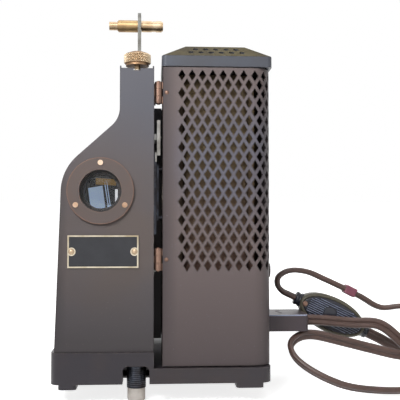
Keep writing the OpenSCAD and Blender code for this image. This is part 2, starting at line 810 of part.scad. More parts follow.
// Flat steel reel arm that slides up behind the tower
module reel_arm() {
  color([0.55, 0.55, 0.55])
    difference() {
      from_side(arm_x - arm_t / 2, arm_x + arm_t / 2) {
        translate([arm_y - arm_w / 2, arm_z0]) square([arm_w, arm_z1 - arm_w / 2 - arm_z0]);
        translate([arm_y, arm_z1 - arm_w / 2]) circle(r = arm_w / 2, $fn = fine);
      }
      bar_x(3, arm_x - 5, arm_x + 5, arm_y, reel_z);
    }
}
module spindle_bearing() {
  color([0.6, 0.52, 0.38])
    difference() {
      union() {
        bar_x(bearing_d / 2, bearing_x0 + 0.7, arm_x - arm_t / 2, arm_y, reel_z, fine);
        bar_x(bearing_d / 2 - 0.7, bearing_x0, bearing_x0 + 1, arm_y, reel_z, fine);
        bar_x(3, arm_x - arm_t / 2 - 0.1, arm_x + arm_t / 2, arm_y, reel_z);
      }
      bar_x(spindle_r + run_gap, bearing_x0 - 1, arm_x + arm_t, arm_y, reel_z, fine);
    }
}
module reel_spindle() {
  neck = 1.5;
  shaft_r = reel_shaft_d / 2;
  color([0.8, 0.7, 0.5])
    difference() {
      union() {
        bar_x(spindle_r, bearing_x0 - 0.4, reel_x0 + 1, arm_y, reel_z);
        bar_x(shaft_r, reel_x0, catch_x - neck, arm_y, reel_z, fine);
        bar_x(shaft_r - 0.3, catch_x - neck - 0.1, catch_x + neck + 0.1, arm_y, reel_z, fine);
        bar_x(shaft_r, catch_x + neck, reel_x1 - 1, arm_y, reel_z, fine);
        bar_x(shaft_r - 0.7, reel_x1 - 1.2, reel_x1, arm_y, reel_z, fine);
        bar_x(3, bearing_x0 - 5.8, bearing_x0 - free_gap, arm_y, reel_z);
      }
      block([catch_x - 1.2, arm_y - 1.7, reel_z - 1], [catch_x + 1.2, arm_y + 1.7, reel_z + 6]);
    }
}
module reel_catch() {
  color([0.7, 0.68, 0.65])
    block([catch_x - 1.1, arm_y - 1.6, reel_z + 0.3], [catch_x + 1.1, arm_y + 1.6, reel_z + reel_shaft_d / 2 - 0.5]);
}

// Guide bracket that carries the reel arm on the frame plate
guide_z = [top_z - 50, top_z - 8];
module arm_guide() {
  side = 3;
  color([0.48, 0.47, 0.46])
    difference() {
      union() {
        block([arm_x - arm_t / 2 - side, house_y1, guide_z[0]],
          [arm_x + arm_t / 2 + side, arm_y + arm_w / 2 + side, guide_z[1]]);
      }
      block([arm_x - arm_t / 2 - thin_gap, arm_y - arm_w / 2 - thin_gap, guide_z[0] - 1],
        [arm_x + arm_t / 2 + thin_gap, arm_y + arm_w / 2 + thin_gap, guide_z[1] + 1]);
    }
}

// Take-up arm folded over the motor, with its pivot bracket
take_tilt = 8;
module on_take_up() {
  translate([0, take_y, take_z]) rotate([-take_tilt, 0, 0]) children();
}
module take_up_bracket() {
  color([0.48, 0.47, 0.46])
    difference() {
      union() {
        block([arm_x - 9, house_y1, take_z - 8], [arm_x - arm_t / 2 - free_gap, house_y1 + 2, take_z + 8]);
        block([arm_x - arm_t / 2 - free_gap - 2.5, house_y1, take_z - 8],
          [arm_x - arm_t / 2 - free_gap, take_y + 8, take_z + 8]);
        bar_x(3, arm_x - arm_t / 2 - free_gap - 0.1, arm_x + arm_t / 2 + free_gap, take_y, take_z);
        bar_x(4.5, arm_x + arm_t / 2 + free_gap, arm_x + arm_t / 2 + 2, take_y, take_z);
      }
    }
}
module take_up_arm() {
  color([0.55, 0.55, 0.55])
    on_take_up()
      difference() {
        union() {
          from_side(arm_x - arm_t / 2, arm_x + arm_t / 2) {
            translate([0, -6]) square([take_len, 12]);
            circle(r = 7, $fn = fine);
            translate([take_len, 0]) circle(r = 6, $fn = fine);
          }
          bar_x(bearing_d / 2, arm_x - 9, arm_x, take_len, 0);
        }
        bar_x(3 + run_gap, arm_x - 5, arm_x + 5, 0, 0, fine);
        bar_x(spindle_r + run_gap, arm_x - 12, arm_x + 5, take_len, 0, fine);
      }
}
module take_up_spindle() {
  color([0.8, 0.7, 0.5])
    on_take_up() {
      bar_x(spindle_r, arm_x - 15, reel_x0 + 1, take_len, 0);
      bar_x(reel_shaft_d / 2, reel_x0, reel_x1 - 1, take_len, 0, fine);
      bar_x(reel_shaft_d / 2 - 0.7, reel_x1 - 1.2, reel_x1, take_len, 0, fine);
      translate([arm_x - 12.4, take_len, 0]) rotate([0, 90, 0])
        rotate_extrude($fn = fine)
          difference() {
            translate([0, -2.5]) square([9, 5]);
            translate([9, 0]) circle(r = 1.5, $fn = 32);
          }
    }
}

// Motor behind the housings
motor_x0 = motor_x - motor_len / 2;
motor_x1 = motor_x + motor_len / 2;
module motor_casing() {
  color([0.2, 0.2, 0.21])
    difference() {
      union() {
        bar_x(motor_d / 2, motor_x0 + 4, motor_x1 - 4, motor_y, motor_z, fine);
        bar_x(motor_d / 2 - 4, motor_x0, motor_x1, motor_y, motor_z, fine);
        bar_x(8, motor_x0 - 3, motor_x1 + 3, motor_y, motor_z);
        bar_y(5, motor_y + motor_d / 2 - 3, motor_y + motor_d / 2 + 3, motor_x1 - 14, motor_z);
      }
      bar_x(motor_d / 2 - 6, motor_x0 + 3, motor_x1 - 3, motor_y, motor_z, fine);
      bar_x(3 + run_gap, motor_x0 - 5, motor_x1 + 5, motor_y, motor_z, fine);
      for (a = [0 : 30 : 330])
        translate([motor_x1 - 8, motor_y, motor_z]) rotate([a, 0, 0])
          block([0, 15, -2], [10, 21, 2]);
    }
}
module motor_cradle() {
  color([0.29, 0.26, 0.27])
    difference() {
      for (x = [motor_x0 + 10, motor_x1 - 18])
        block([x, motor_y - 22, deck_z], [x + 8, motor_y + 22, motor_z - motor_d / 2 + 9]);
      bar_x(motor_d / 2, motor_x0, motor_x1, motor_y, motor_z, fine);
    }
}
module motor_shaft() {
  color([0.66, 0.65, 0.63]) {
    bar_x(3, pulley_x - 3, motor_x1 + 12, motor_y, motor_z);
    bar_x(motor_d / 2 - 9, motor_x0 + 12, motor_x1 - 12, motor_y, motor_z, fine);
    translate([pulley_x, motor_y, motor_z]) rotate([0, 90, 0])
      rotate_extrude($fn = fine)
        difference() {
          translate([0, -3]) square([motor_pulley_r + belt_r, 6]);
          translate([motor_pulley_r, -belt_r]) square([3 * belt_r, 2 * belt_r]);
        }
  }
}
module inching_knob() {
  x0 = motor_x1 + 4;
  color([0.16, 0.16, 0.17])
    difference() {
      bar_x(9, x0, x0 + 8, motor_y, motor_z, fine);
      bar_x(3, x0 - 1, x0 + 9, motor_y, motor_z);
      for (i = [0 : 23])
        translate([x0 - 1, motor_y, motor_z]) rotate([i * 15, 0, 0]) translate([0, 9.2, 0])
          rotate([45, 0, 0]) translate([0, -0.5, -0.5]) cube([10, 1, 1]);
    }
}

// Flat belt from the motor to the main shaft
belt_t = 2.6;
belt_a = pulley_r + belt_r;
belt_b = motor_pulley_r + belt_r;
belt_span = norm([motor_y - main_y, motor_z - main_z]);
belt_dir = atan2(motor_z - main_z, motor_y - main_y);
belt_open = acos((belt_a - belt_b) / belt_span);
belt_high_z = main_z + belt_a * sin(belt_dir + belt_open)
  + (house_y1 - main_y - belt_a * cos(belt_dir + belt_open)) * tan(belt_dir + belt_open - 90);
belt_low_z = main_z + belt_a * sin(belt_dir - belt_open)
  + (house_y1 - main_y - belt_a * cos(belt_dir - belt_open)) * tan(belt_dir - belt_open + 90);
module belt_outline(grow) {
  low = belt_dir - belt_open;
  high = belt_dir + belt_open;
  polygon(concat(
    arc(motor_y, motor_z, belt_b + grow, low, high, 20),
    arc(main_y, main_z, belt_a + grow, high, low + 360, 24)));
}
module drive_belt() {
  color([0.24, 0.17, 0.12])
    from_side(pulley_x - belt_t / 2, pulley_x + belt_t / 2)
      difference() {
        belt_outline(belt_t / 2);
        belt_outline(-belt_t / 2);
      }
}

// Staggered diamond perforations over a flat field that is width wide
function diamond_cols(width) = floor(width / diamond_px);
module diamonds(width, first = 0, rows = diamond_rows, trim = 1) {
  cols = diamond_cols(width);
  for (r = [0 : rows - 1])
    for (c = [0 : cols - (r % 2 == 0 ? 0 : trim)])
      translate([first + c * diamond_px + (r % 2 == 0 ? 0 : diamond_px / 2), -r * diamond_pz])
        polygon([[0, diamond_h / 2], [diamond_w / 2, 0], [0, -diamond_h / 2], [-diamond_w / 2, 0]]);
}

// Plan outline of the lamp house sheet, drawn in by t
module lamp_plan(t = 0) {
  round_rect([lamp_x0 + t, lamp_y0 + t], [lamp_x1 - t, lamp_y1 - t], lamp_corner_r - t);
}
diamond_x = lamp_x0 + 11.9;
diamond_z = sheet_top - 5.4;
flat_w = lamp_x1 - lamp_corner_r - diamond_x;

// Fixed back part of the lamp house: left wall, back and most of the right wall
module lamp_house_shell() {
  split_y = lamp_y0 + door_return + free_gap;
  color([0.44, 0.4, 0.4])
    difference() {
      union() {
        difference() {
          translate([0, 0, sheet_z]) linear_extrude(height = sheet_top - sheet_z) lamp_plan();
          translate([0, 0, sheet_z - 1]) linear_extrude(height = sheet_top - sheet_z + 2) lamp_plan(sheet_t);
          block([lamp_x0 + sheet_t, lamp_y0 - 1, sheet_z - 1], [lamp_x1 + 1, split_y, sheet_top + 1]);
          block([lamp_x0 - 1, lamp_y0 - 1, sheet_z - 1], [lamp_x1 + 1, lamp_y0 + lamp_corner_r, sheet_top + 1]);
        }
        block([lamp_x0, lamp_y0 + 2 * sheet_t, sheet_z],
          [lamp_x0 + sheet_t, lamp_y0 + lamp_corner_r + 0.1, sheet_top]);
      }
      bar_x(13.4, lamp_x0 - 2, lamp_x0 + 3, axis_y, axis_z, fine);
      for (z = [axis_z - 16, axis_z + 16])
        bar_x(1.5 + thin_gap, lamp_x0 - 1, lamp_x0 + 3, axis_y, z);
      from_front(lamp_y1 - sheet_t - 1, lamp_y1 + 1)
        translate([0, diamond_z]) diamonds(flat_w - 2, diamond_x);
      block([lamp_x1 - 3, inlet_y - plug_w / 2 + 3, inlet_z - plug_t / 2 + 1],
        [lamp_x1 + 1, inlet_y + plug_w / 2 - 3, inlet_z + plug_t / 2 - 1]);
      for (x = [lamp_x0 + 8, lamp_x1 - 16])
        for (y = [lamp_y1])
          block([x, y - 4, sheet_z - 1], [x + 8, y + 1, sheet_z + 0.2]);
    }
}

// Hinged front of the lamp house, which wraps round the right corner
module lamp_door() {
  z0 = sheet_z + 0.2;
  z1 = sheet_top - 0.3;
  edge_y = lamp_y0 + door_return;
  corner_x = lamp_x1 - lamp_corner_r;
  corner_y = lamp_y0 + lamp_corner_r;
  column_turn = diamond_px / lamp_corner_r * 180 / PI;
  color([0.44, 0.4, 0.4])
    difference() {
      union() {
        difference() {
          translate([0, 0, z0]) linear_extrude(height = z1 - z0)
            difference() {
              lamp_plan();
              lamp_plan(sheet_t);
              translate([lamp_x0 - 1, corner_y]) square([lamp_w / 2 + 1, lamp_d]);
              translate([lamp_x0 - 1, edge_y]) square([lamp_w + 2, lamp_d]);
              translate([lamp_x0 - 1, lamp_y0 - 1]) square([lamp_corner_r + 1, lamp_corner_r + 1]);
            }
        }
        block([lamp_x0, lamp_y0, z0], [lamp_x0 + lamp_corner_r + 0.1, lamp_y0 + sheet_t, z1]);
        bar_x(4.5, lamp_x1 - 0.1, lamp_x1 + 1.6, edge_y - 8, floor_z + 71);
      }
      from_front(lamp_y0 - 1, lamp_y0 + sheet_t + 1)
        translate([0, diamond_z]) diamonds(flat_w - diamond_w / 2 - 0.6, diamond_x, trim = 0);
      for (k = [0 : 3])
        for (r = [0 : diamond_rows - 1])
          let (turn = (k + (r % 2 == 0 ? 0 : 0.5)) * column_turn + 4)
            if (turn < 80)
              translate([corner_x, corner_y, diamond_z - r * diamond_pz]) rotate([0, 0, turn - 90])
                rotate([90, 0, 90]) translate([0, 0, lamp_corner_r - 3]) linear_extrude(height = 5)
                  polygon([[0, diamond_h / 2], [diamond_w / 2, 0], [0, -diamond_h / 2], [-diamond_w / 2, 0]]);
      for (z = hinge_zs)
        bar_y(1.05, lamp_y0 - 1, lamp_y0 + 3, lamp_x0 + 2.4, z);
    }
}

// Hinge leaves with knuckles: the fixed ones and their pins, then the door's
module door_hinges() {
  leaf_y = hinge_y + hinge_r + free_gap;
  color([0.55, 0.42, 0.33])
    for (z = hinge_zs) {
      difference() {
        union() {
          bar_z(hinge_r, z - knuckle_len / 2, z + knuckle_len / 2, hinge_x, hinge_y);
          block([tower_x1, hinge_y - 0.4, z - knuckle_len / 2], [hinge_x, hinge_y + 1.4, z + knuckle_len / 2]);
          block([tower_x1, hinge_y - 0.4, z - knuckle_len / 2], [tower_x1 + 0.9, leaf_y + 0.1, z + knuckle_len / 2]);
          block([tower_x1, leaf_y, z - 6.5], [tower_x1 + 0.9, hinge_y + 9, z + 6.5]);
        }
        bar_z(hinge_pin_r, z - 8, z + 8, hinge_x, hinge_y);
      }
      bar_z(hinge_pin_r, z - 7.4, z + 7.4, hinge_x, hinge_y);
    }
}
module door_rivets() {
  color([0.5, 0.42, 0.36])
    for (z = hinge_zs) {
      for (s = [-1, 1])
        let (z0 = s < 0 ? z - 1.5 * knuckle_len - 0.2 : z + knuckle_len / 2 + 0.2)
          difference() {
            union() {
              bar_z(hinge_r, z0, z0 + knuckle_len, hinge_x, hinge_y);
              block([hinge_x, hinge_y - 0.6, z0], [lamp_x0 + 4.6, hinge_y + 0.1, z0 + knuckle_len]);
            }
            bar_z(hinge_pin_r + run_gap, z0 - 1, z0 + knuckle_len + 1, hinge_x, hinge_y, fine);
          }
      block([lamp_x0 + sheet_t + free_gap, lamp_y0 + sheet_t, z - 6.8], [lamp_x0 + 4.6, lamp_y0 + sheet_t + 0.7, z + 6.8]);
      bar_y(1, lamp_y0 - 0.1, lamp_y0 + sheet_t + 0.1, lamp_x0 + 2.4, z);
      intersection() {
        translate([lamp_x0 + 2.4, lamp_y0 + 0.7, z]) sphere(r = 1.5);
        bar_y(1.3, lamp_y0 - 2, lamp_y0, lamp_x0 + 2.4, z);
      }
    }
}

// Lid with upright band and hipped roof, drilled with two rows of vent holes a side
lid_x = [lamp_x0 - 0.7, lamp_x1 + 0.7];
lid_y = [lamp_y0 - 0.7, lamp_y1 + 0.7];
lid_z = sheet_top + 0.1;
module hip(x, y, z, rise, inset) {
  polyhedron(
    points = [[x[0], y[0], z], [x[1], y[0], z], [x[1], y[1], z], [x[0], y[1], z],
      [x[0] + inset, y[0] + inset, z + rise], [x[1] - inset, y[0] + inset, z + rise],
      [x[1] - inset, y[1] - inset, z + rise], [x[0] + inset, y[1] - inset, z + rise]],
    faces = [[0, 1, 2, 3], [4, 7, 6, 5], [0, 4, 5, 1], [1, 5, 6, 2], [2, 6, 7, 3], [3, 7, 4, 0]]);
}
module lid_plan(t) {
  round_rect([lid_x[0] + t, lid_y[0] + t], [lid_x[1] - t, lid_y[1] - t], 3 - min(t, 1.5));
}
module lamp_lid() {
  band_z1 = lid_z + band_h;
  slope = atan(roof_rise / roof_inset);
  vent_run = lamp_w - 2 * roof_inset;
  vents = floor(vent_run / diamond_px);
  color([0.41, 0.42, 0.46])
    difference() {
      union() {
        translate([0, 0, lid_z]) linear_extrude(height = band_h) lid_plan(0);
        hip([lid_x[0] + 0.6, lid_x[1] - 0.6], [lid_y[0] + 0.6, lid_y[1] - 0.6], band_z1, roof_rise, roof_inset);
      }
      translate([0, 0, lid_z - 1]) linear_extrude(height = band_h) lid_plan(3);
      hip([lid_x[0] + 4, lid_x[1] - 4], [lid_y[0] + 4, lid_y[1] - 4], band_z1 - 1.1, roof_rise, roof_inset);
      for (side = [0, 180])
        translate([(lid_x[0] + lid_x[1]) / 2, (lid_y[0] + lid_y[1]) / 2, band_z1]) rotate(side)
          for (row = [0, 1])
            for (i = [0 : vents - 1 + row])
              translate([(i - (vents - 1 + row) / 2) * diamond_px,
                lid_y[0] - (lid_y[0] + lid_y[1]) / 2 + 0.6 + (row == 0 ? 10.5 : 5.5),
                (row == 0 ? 10.5 : 5.5) * roof_rise / roof_inset])
                rotate([slope, 0, 0]) cylinder(r = vent_d / 2, h = 8, center = true, $fn = 16);
    }
}

// Inner heat shield round the lamp, open at the beam's side
liner_x = [lamp_x0 + 13, lamp_x1 - 13];
liner_y = [lamp_y0 + 11, lamp_y1 - 9];
module lamp_liner() {
  color([0.34, 0.32, 0.24])
    difference() {
      round_block([liner_x[0], liner_y[0], deck_z], [liner_x[1], liner_y[1], sheet_top - 3], 4);
      round_block([liner_x[0] + 0.8, liner_y[0] + 0.8, deck_z - 1],
        [liner_x[1] - 0.8, liner_y[1] - 0.8, sheet_top], 3.2);
      bar_x(15, liner_x[0] - 2, liner_x[0] + 3, axis_y, axis_z, fine);
      block([liner_x[1] - 3, inlet_y - 12, deck_z - 1], [liner_x[1] + 2, inlet_y + 12, inlet_z + 9]);
    }
}

// Lamp: glass bulb on a brass cap
module lamp_bulb() {
  color([0.8, 0.85, 0.9, 0.4])
    translate([lamp_x, axis_y, 0]) {
      translate([0, 0, axis_z - 55]) cylinder(r = 11, h = 15, $fn = fine);
      translate([0, 0, axis_z - 41]) cylinder(r = lamp_r, h = 75, $fn = fine);
      translate([0, 0, axis_z + 34]) sphere(r = lamp_r, $fn = fine);
    }
}
module lamp_socket() {
  color([0.6, 0.52, 0.36])
    translate([lamp_x, axis_y, 0])
      difference() {
        union() {
          translate([0, 0, deck_z]) cylinder(r = 15, h = 5, $fn = fine);
          translate([0, 0, deck_z]) cylinder(r = 13, h = axis_z - 45 - deck_z, $fn = fine);
        }
        translate([0, 0, axis_z - 55]) cylinder(r = 11 + thin_gap, h = 30, $fn = fine);
      }
}

// Condenser: a short tube with two lenses in the lamp house's left wall
module condenser() {
  color([0.5, 0.48, 0.45])
    difference() {
      union() {
        bar_x(13.2, lamp_x0 + 0.1, lamp_x0 + 11, axis_y, axis_z, fine);
        bar_x(14, lamp_x0 + sheet_t, lamp_x0 + sheet_t + 1.2, axis_y, axis_z, fine);
      }
      bar_x(11, lamp_x0 - 1, lamp_x0 + 3, axis_y, axis_z, fine);
      bar_x(11, lamp_x0 + 8, lamp_x0 + 12, axis_y, axis_z, fine);
    }
}

// Power inlet with two round sockets behind the right wall
inlet_x1 = lamp_x1 - sheet_t - 1.2;
socket_depth = 8;
module power_inlet() {
  color([0.2, 0.17, 0.15])
    difference() {
      block([liner_x[1] + free_gap, inlet_y - 12.5, deck_z], [inlet_x1, inlet_y + 12.5, inlet_z + 6]);
      for (s = [-1, 1])
        bar_x(pin_r + 0.12, inlet_x1 - socket_depth, inlet_x1 + 1, inlet_y + s * pin_pitch / 2, inlet_z);
    }
}
module plug() {
  color([0.3, 0.27, 0.28])
    difference() {
      union() {
        round_plug();
        for (s = [-1, 1])
          bar_x(pin_r, inlet_x1 - socket_depth + 0.5, plug_x0 + 2, inlet_y + s * pin_pitch / 2, inlet_z);
      }
      for (s = [-1, 1])
        bar_z(1.8, inlet_z + plug_t / 2 - 1.6, inlet_z + plug_t / 2 + 1, plug_x0 + 12, inlet_y + s * 5);
    }
}
module round_plug() {
  edge = 1.2;
  translate([0, 0, inlet_z - plug_t / 2])
    linear_extrude(height = plug_t)
      difference() {
        round_rect([plug_x0 - 4, inlet_y - plug_w / 2], [plug_x1, inlet_y + plug_w / 2], 3);
        translate([plug_x0 - 10, inlet_y - plug_w]) square([10, 2 * plug_w]);
      }
}

// Way of the cord's centre, first from the plug to its switch, then on to the coil
lead_route = [[plug_x1, -29, 44], [105, -29, 44], [114, -29.5, 43.5], [132, -31, 42], [150, -34, 41],
  [164, -37, 30], [174, -43, 17], [181, -53, 8], [174, -64, 4.5], [158, -69, 3.8], [138, -69, 4],
  [118, -67, 6.5], [101, -62, 13], [89, -54, 21], [86, -46, 29], [93, -39.5, 34], [104, -38, 35],
  [122, -40, 31], [142, -41, 26], [162, -42, 21.5], [178, -42, 22], [188, -38, 32], [186, -30, 46],
  [172, -22, 52], [156, -18, 51], [142, -18, 58.5], [129, -19, 65], [115, -19, 71.5], [103, -19, 76.5],
  [91, -19, 77.5], [83, -19, 73.5], [82, -19, 67.5], [85.5, -18, 63], [90.1, -17, 60.6], [95.5, -17, 58]];
tail_route = [[145, -17, 34], [150.4, -17, 31.4], [158, -18, 27.5], [170, -24, 20], [182, -34, 12.5],
  [198, -42, 7], [214, -45, 5], [227, -45, 4.6], [240, -45, 4.5]];
end_route = [[199, -14, 29.5], [199, -25, 27.5], [200, -38, 23], [204, -51, 17.5], [212, -61, 14], [218.5, -64, 13],
  [225, -64, 13]];
hose_r = 2.9;

// The surface that the cord lies on rises to the back, from the front foot to the rear feet
function rest_z(y) = foot_out * (y - screw_y) / (base_y - 7 - screw_y);

function unit(v) = v / norm(v);
function square_to(v, t) = unit(v - (v * t) * t);
function cubic(a, b, c, d, u) =
  0.5 * (2 * b + (c - a) * u + (2 * a - 5 * b + 4 * c - d) * u * u + (3 * b - a - 3 * c + d) * u * u * u);
function smooth(p, steps) = concat(
  [for (i = [0 : len(p) - 2])
    for (k = [0 : steps - 1])
      cubic(p[max(i - 1, 0)], p[i], p[i + 1], p[min(i + 2, len(p) - 1)], k / steps)],
  [p[len(p) - 1]]);

// Round tube swept along a way
module tube(way, r, sides) {
  n = len(way);
  t = [for (i = [0 : n - 1]) unit(way[min(i + 1, n - 1)] - way[max(i - 1, 0)])];
  u = [for (i = 0, v = square_to([0.1, 0.2, 1], t[0]); i < n;
    i = i + 1, v = square_to(v, t[min(i, n - 1)])) v];
  polyhedron(
    points = [for (i = [0 : n - 1]) for (k = [0 : sides - 1])
      let (a = 360 * k / sides) way[i] + r * (cos(a) * u[i] + sin(a) * cross(t[i], u[i]))],
    faces = concat(
      [[for (k = [0 : sides - 1]) k]],
      [[for (k = [sides - 1 : -1 : 0]) (n - 1) * sides + k]],
      [for (i = [0 : n - 2]) for (k = [0 : sides - 1]) for (half = [0, 1])
        let (m = (k + 1) % sides, a = i * sides + k, b = i * sides + m)
          half == 0 ? [a, a + sides, b + sides] : [a, b + sides, b]]));
}

module cord_lead() { color([0.38, 0.32, 0.31]) tube(smooth(lead_route, 2), hose_r, 10); }
module cord_tail() { color([0.38, 0.32, 0.31]) tube(smooth(tail_route, 2), hose_r, 10); }

// Coil of the cord's unseen length: four layers of two loops, then its end to the mains plug
coil_x = 240;
coil_y = -4;
coil_out = 41;
coil_pitch = 7.6;
coil_loops = 2;
coil_rise = 0.25;
coil_step = coil_loops + coil_rise;
coil_turns = 4 * coil_loops + 3 * coil_rise;
function coil_point(t) =
  let (layer = min(3, floor(t / coil_step)), s = t - layer * coil_step,
    run = min(s, coil_loops), up = layer + max(0, s - coil_loops) / coil_rise,
    r = coil_out - coil_pitch * (layer % 2 == 0 ? run : coil_loops - run),
    a = 270 + 360 * t, y = coil_y + r * sin(a))
  [coil_x + r * cos(a), y, rest_z(y) + hose_r + 0.05 + up * coil_pitch];
coil_way = [for (i = [0 : 24 * coil_turns]) coil_point(i / 24)];
function coil_gap() = min([for (i = [0 : len(coil_way) - 13]) for (j = [i + 12 : len(coil_way) - 1])
  norm(coil_way[i] - coil_way[j])]) - 2 * hose_r;
module cord_hank() {
  echo(least_gap_in_coil = coil_gap(), coil_length = way_length(coil_way));
  echo(lead = way_length(smooth(lead_route, 2)), tail = way_length(smooth(tail_route, 2)),
    end = way_length(end_route));
  color([0.38, 0.32, 0.31]) tube(concat(coil_way, smooth(end_route, 2)), hose_r, 6);
}
function way_length(w) = len(w) < 2 ? 0 : sum_lengths(w, len(w) - 2);
function sum_lengths(w, i) = i < 0 ? 0 : norm(w[i + 1] - w[i]) + sum_lengths(w, i - 1);

// Oval switch in the cord, lying against the plug
switch_a = [95.5, -17, 58];
switch_b = [145, -17, 34];
switch_len = norm(switch_b - switch_a);
switch_tilt = atan2(switch_a[2] - switch_b[2], switch_b[0] - switch_a[0]);
module cord_switch() {
  half_w = 12.5;
  half_l = switch_len / 2 - 2.5;
  color([0.16, 0.17, 0.2])
    translate((switch_a + switch_b) / 2) rotate([0, switch_tilt, 0])
      union() {
        from_front(-5, 5) oval(half_l, half_w);
        from_front(-7, 7) oval(half_l - 2, half_w - 2);
        for (s = [-1, 1])
          bar_x(4.4, min(s * (half_l - 6), s * switch_len / 2), max(s * (half_l - 6), s * switch_len / 2), 0, 0);
      }
}
module oval(a, b) {
  polygon([for (i = [0 : 47]) [a * cos(i * 7.5), b * sin(i * 7.5)]]);
}

// Round mains plug with two pins at the cord's other end
module mains_plug() {
  x0 = 225;
  color([0.22, 0.17, 0.15])
    translate([x0, -64, 13])
      union() {
        bar_x(6, 0, 9, 0, 0);
        bar_x(12, 7, 30, 0, 0);
        for (s = [-1, 1]) bar_x(2.4, 29, 47, s * 6, 0);
      }
}

base();
bottom_plate();
case_screws();
elevating_screw();
elevating_foot();
mechanism_housing();
frame_plate();
lens_mount();
mount_screws();
lens_barrel();
lens_glasses();
name_plate();
plate_rivets();
mirror();
mirror_bracket();
gate_plate();
pressure_plate();
film_claw();
shutter_shaft();
shutter_disc();
main_shaft();
main_pulley();
worm();
sprocket_shaft();
worm_wheel();
film_sprocket();
guide_roller();
roller_bracket();
framing_knob();
framing_rod();
framing_bush();
reel_arm();
spindle_bearing();
reel_spindle();
reel_catch();
arm_guide();
take_up_arm();
take_up_spindle();
take_up_bracket();
motor_casing();
motor_cradle();
motor_shaft();
inching_knob();
drive_belt();
lamp_house_shell();
lamp_door();
door_hinges();
door_rivets();
lamp_lid();
lamp_liner();
lamp_bulb();
lamp_socket();
condenser();
power_inlet();
plug();
cord_lead();
cord_switch();
cord_tail();
cord_hank();
mains_plug();
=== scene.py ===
# %% [markdown]
# # A small early film projector
# The metal parts come from the CAD model at their real size, in metres, and stay where they are.
# This lesson gives them their finishes, and adds what CAD leaves plain: the soft edges of castings
# and pressed sheet, the flat twin cord, the switch with its ribs, and the glass.

# %% Load the CAD model as a fixed frame
import math

import bmesh
import bpy
from mathutils import Matrix, Vector


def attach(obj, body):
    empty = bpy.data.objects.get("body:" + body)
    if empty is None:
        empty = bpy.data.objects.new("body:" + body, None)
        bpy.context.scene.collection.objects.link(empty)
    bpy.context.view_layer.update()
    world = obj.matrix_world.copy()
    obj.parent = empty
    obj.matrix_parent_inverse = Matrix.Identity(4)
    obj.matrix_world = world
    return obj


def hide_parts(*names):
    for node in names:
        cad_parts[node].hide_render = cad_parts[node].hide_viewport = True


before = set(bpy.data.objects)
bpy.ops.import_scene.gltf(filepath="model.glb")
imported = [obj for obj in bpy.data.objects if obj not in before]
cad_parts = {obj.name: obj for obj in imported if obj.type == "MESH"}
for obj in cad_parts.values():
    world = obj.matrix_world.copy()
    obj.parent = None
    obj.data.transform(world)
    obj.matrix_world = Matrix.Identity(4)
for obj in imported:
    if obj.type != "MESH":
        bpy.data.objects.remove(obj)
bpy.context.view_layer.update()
scene = bpy.context.scene

# %% [markdown]
# ## Camera
# The photograph was taken from about half a metre in front, with a slightly long lens. The place and
# the turn were worked out by fitting corners, screws and edges of the CAD model to the picture.

# %% Place the camera
MM = 0.001
PHOTO_SIZE = 400
FOCAL_PIXELS = 725
camera_data = bpy.data.cameras.new("camera")
camera_data.sensor_width = 36
camera_data.lens = FOCAL_PIXELS / PHOTO_SIZE * camera_data.sensor_width
camera_data.clip_start = 0.05
camera = bpy.data.objects.new("camera", camera_data)
scene.collection.objects.link(camera)
camera.location = (-4.7 * MM, -527.7 * MM, 106.8 * MM)
camera.rotation_euler = (math.radians(90 + 2.28), 0, math.radians(-3.59))
scene.camera = camera
scene.view_settings.view_transform = "Standard"
print(f"camera lens {camera_data.lens:.1f} mm")

# %% [markdown]
# ## Floor
# The elevating foot is turned out, so the machine leans back a little. In its own frame the floor is
# therefore a plane that rises towards the back, from under the foot to under the rear feet. It looks
# white to the camera and to polished metal, and still catches the shadow.

# %% Floor that touches the foot and the rear feet
FOOT_Y, REAR_Y, FOOT_OUT = -69.5 * MM, 73 * MM, 9 * MM


def rest_height(y):
    """Height of the floor under a place y, front to back."""
    return FOOT_OUT * (y - FOOT_Y) / (REAR_Y - FOOT_Y)


def node_tree(material):
    """An empty node tree for a material, and a short way to add nodes to it."""
    material.use_nodes = True
    tree = material.node_tree
    tree.nodes.clear()
    return tree


def white_rays(tree):
    """1 for what the camera sees, also in a mirror or through glass: there the paper shows white."""
    rays = tree.nodes.new("ShaderNodeLightPath")
    either = rays.outputs["Is Camera Ray"]
    for other in ("Is Glossy Ray", "Is Transmission Ray"):
        larger = tree.nodes.new("ShaderNodeMath")
        larger.operation = "MAXIMUM"
        tree.links.new(either, larger.inputs[0])
        tree.links.new(rays.outputs[other], larger.inputs[1])
        either = larger.outputs[0]
    return either


floor_mesh = bmesh.new()
bmesh.ops.create_grid(floor_mesh, x_segments=1, y_segments=1, size=3)
bmesh.ops.translate(floor_mesh, vec=(0.06, 1.5, 0), verts=floor_mesh.verts)
for vert in floor_mesh.verts:
    vert.co.z = rest_height(vert.co.y) - 0.0002
floor_data = bpy.data.meshes.new("floor")
floor_mesh.to_mesh(floor_data)
floor_mesh.free()
floor = bpy.data.objects.new("floor", floor_data)
scene.collection.objects.link(floor)
print("floor under the foot:", round(rest_height(FOOT_Y), 4))

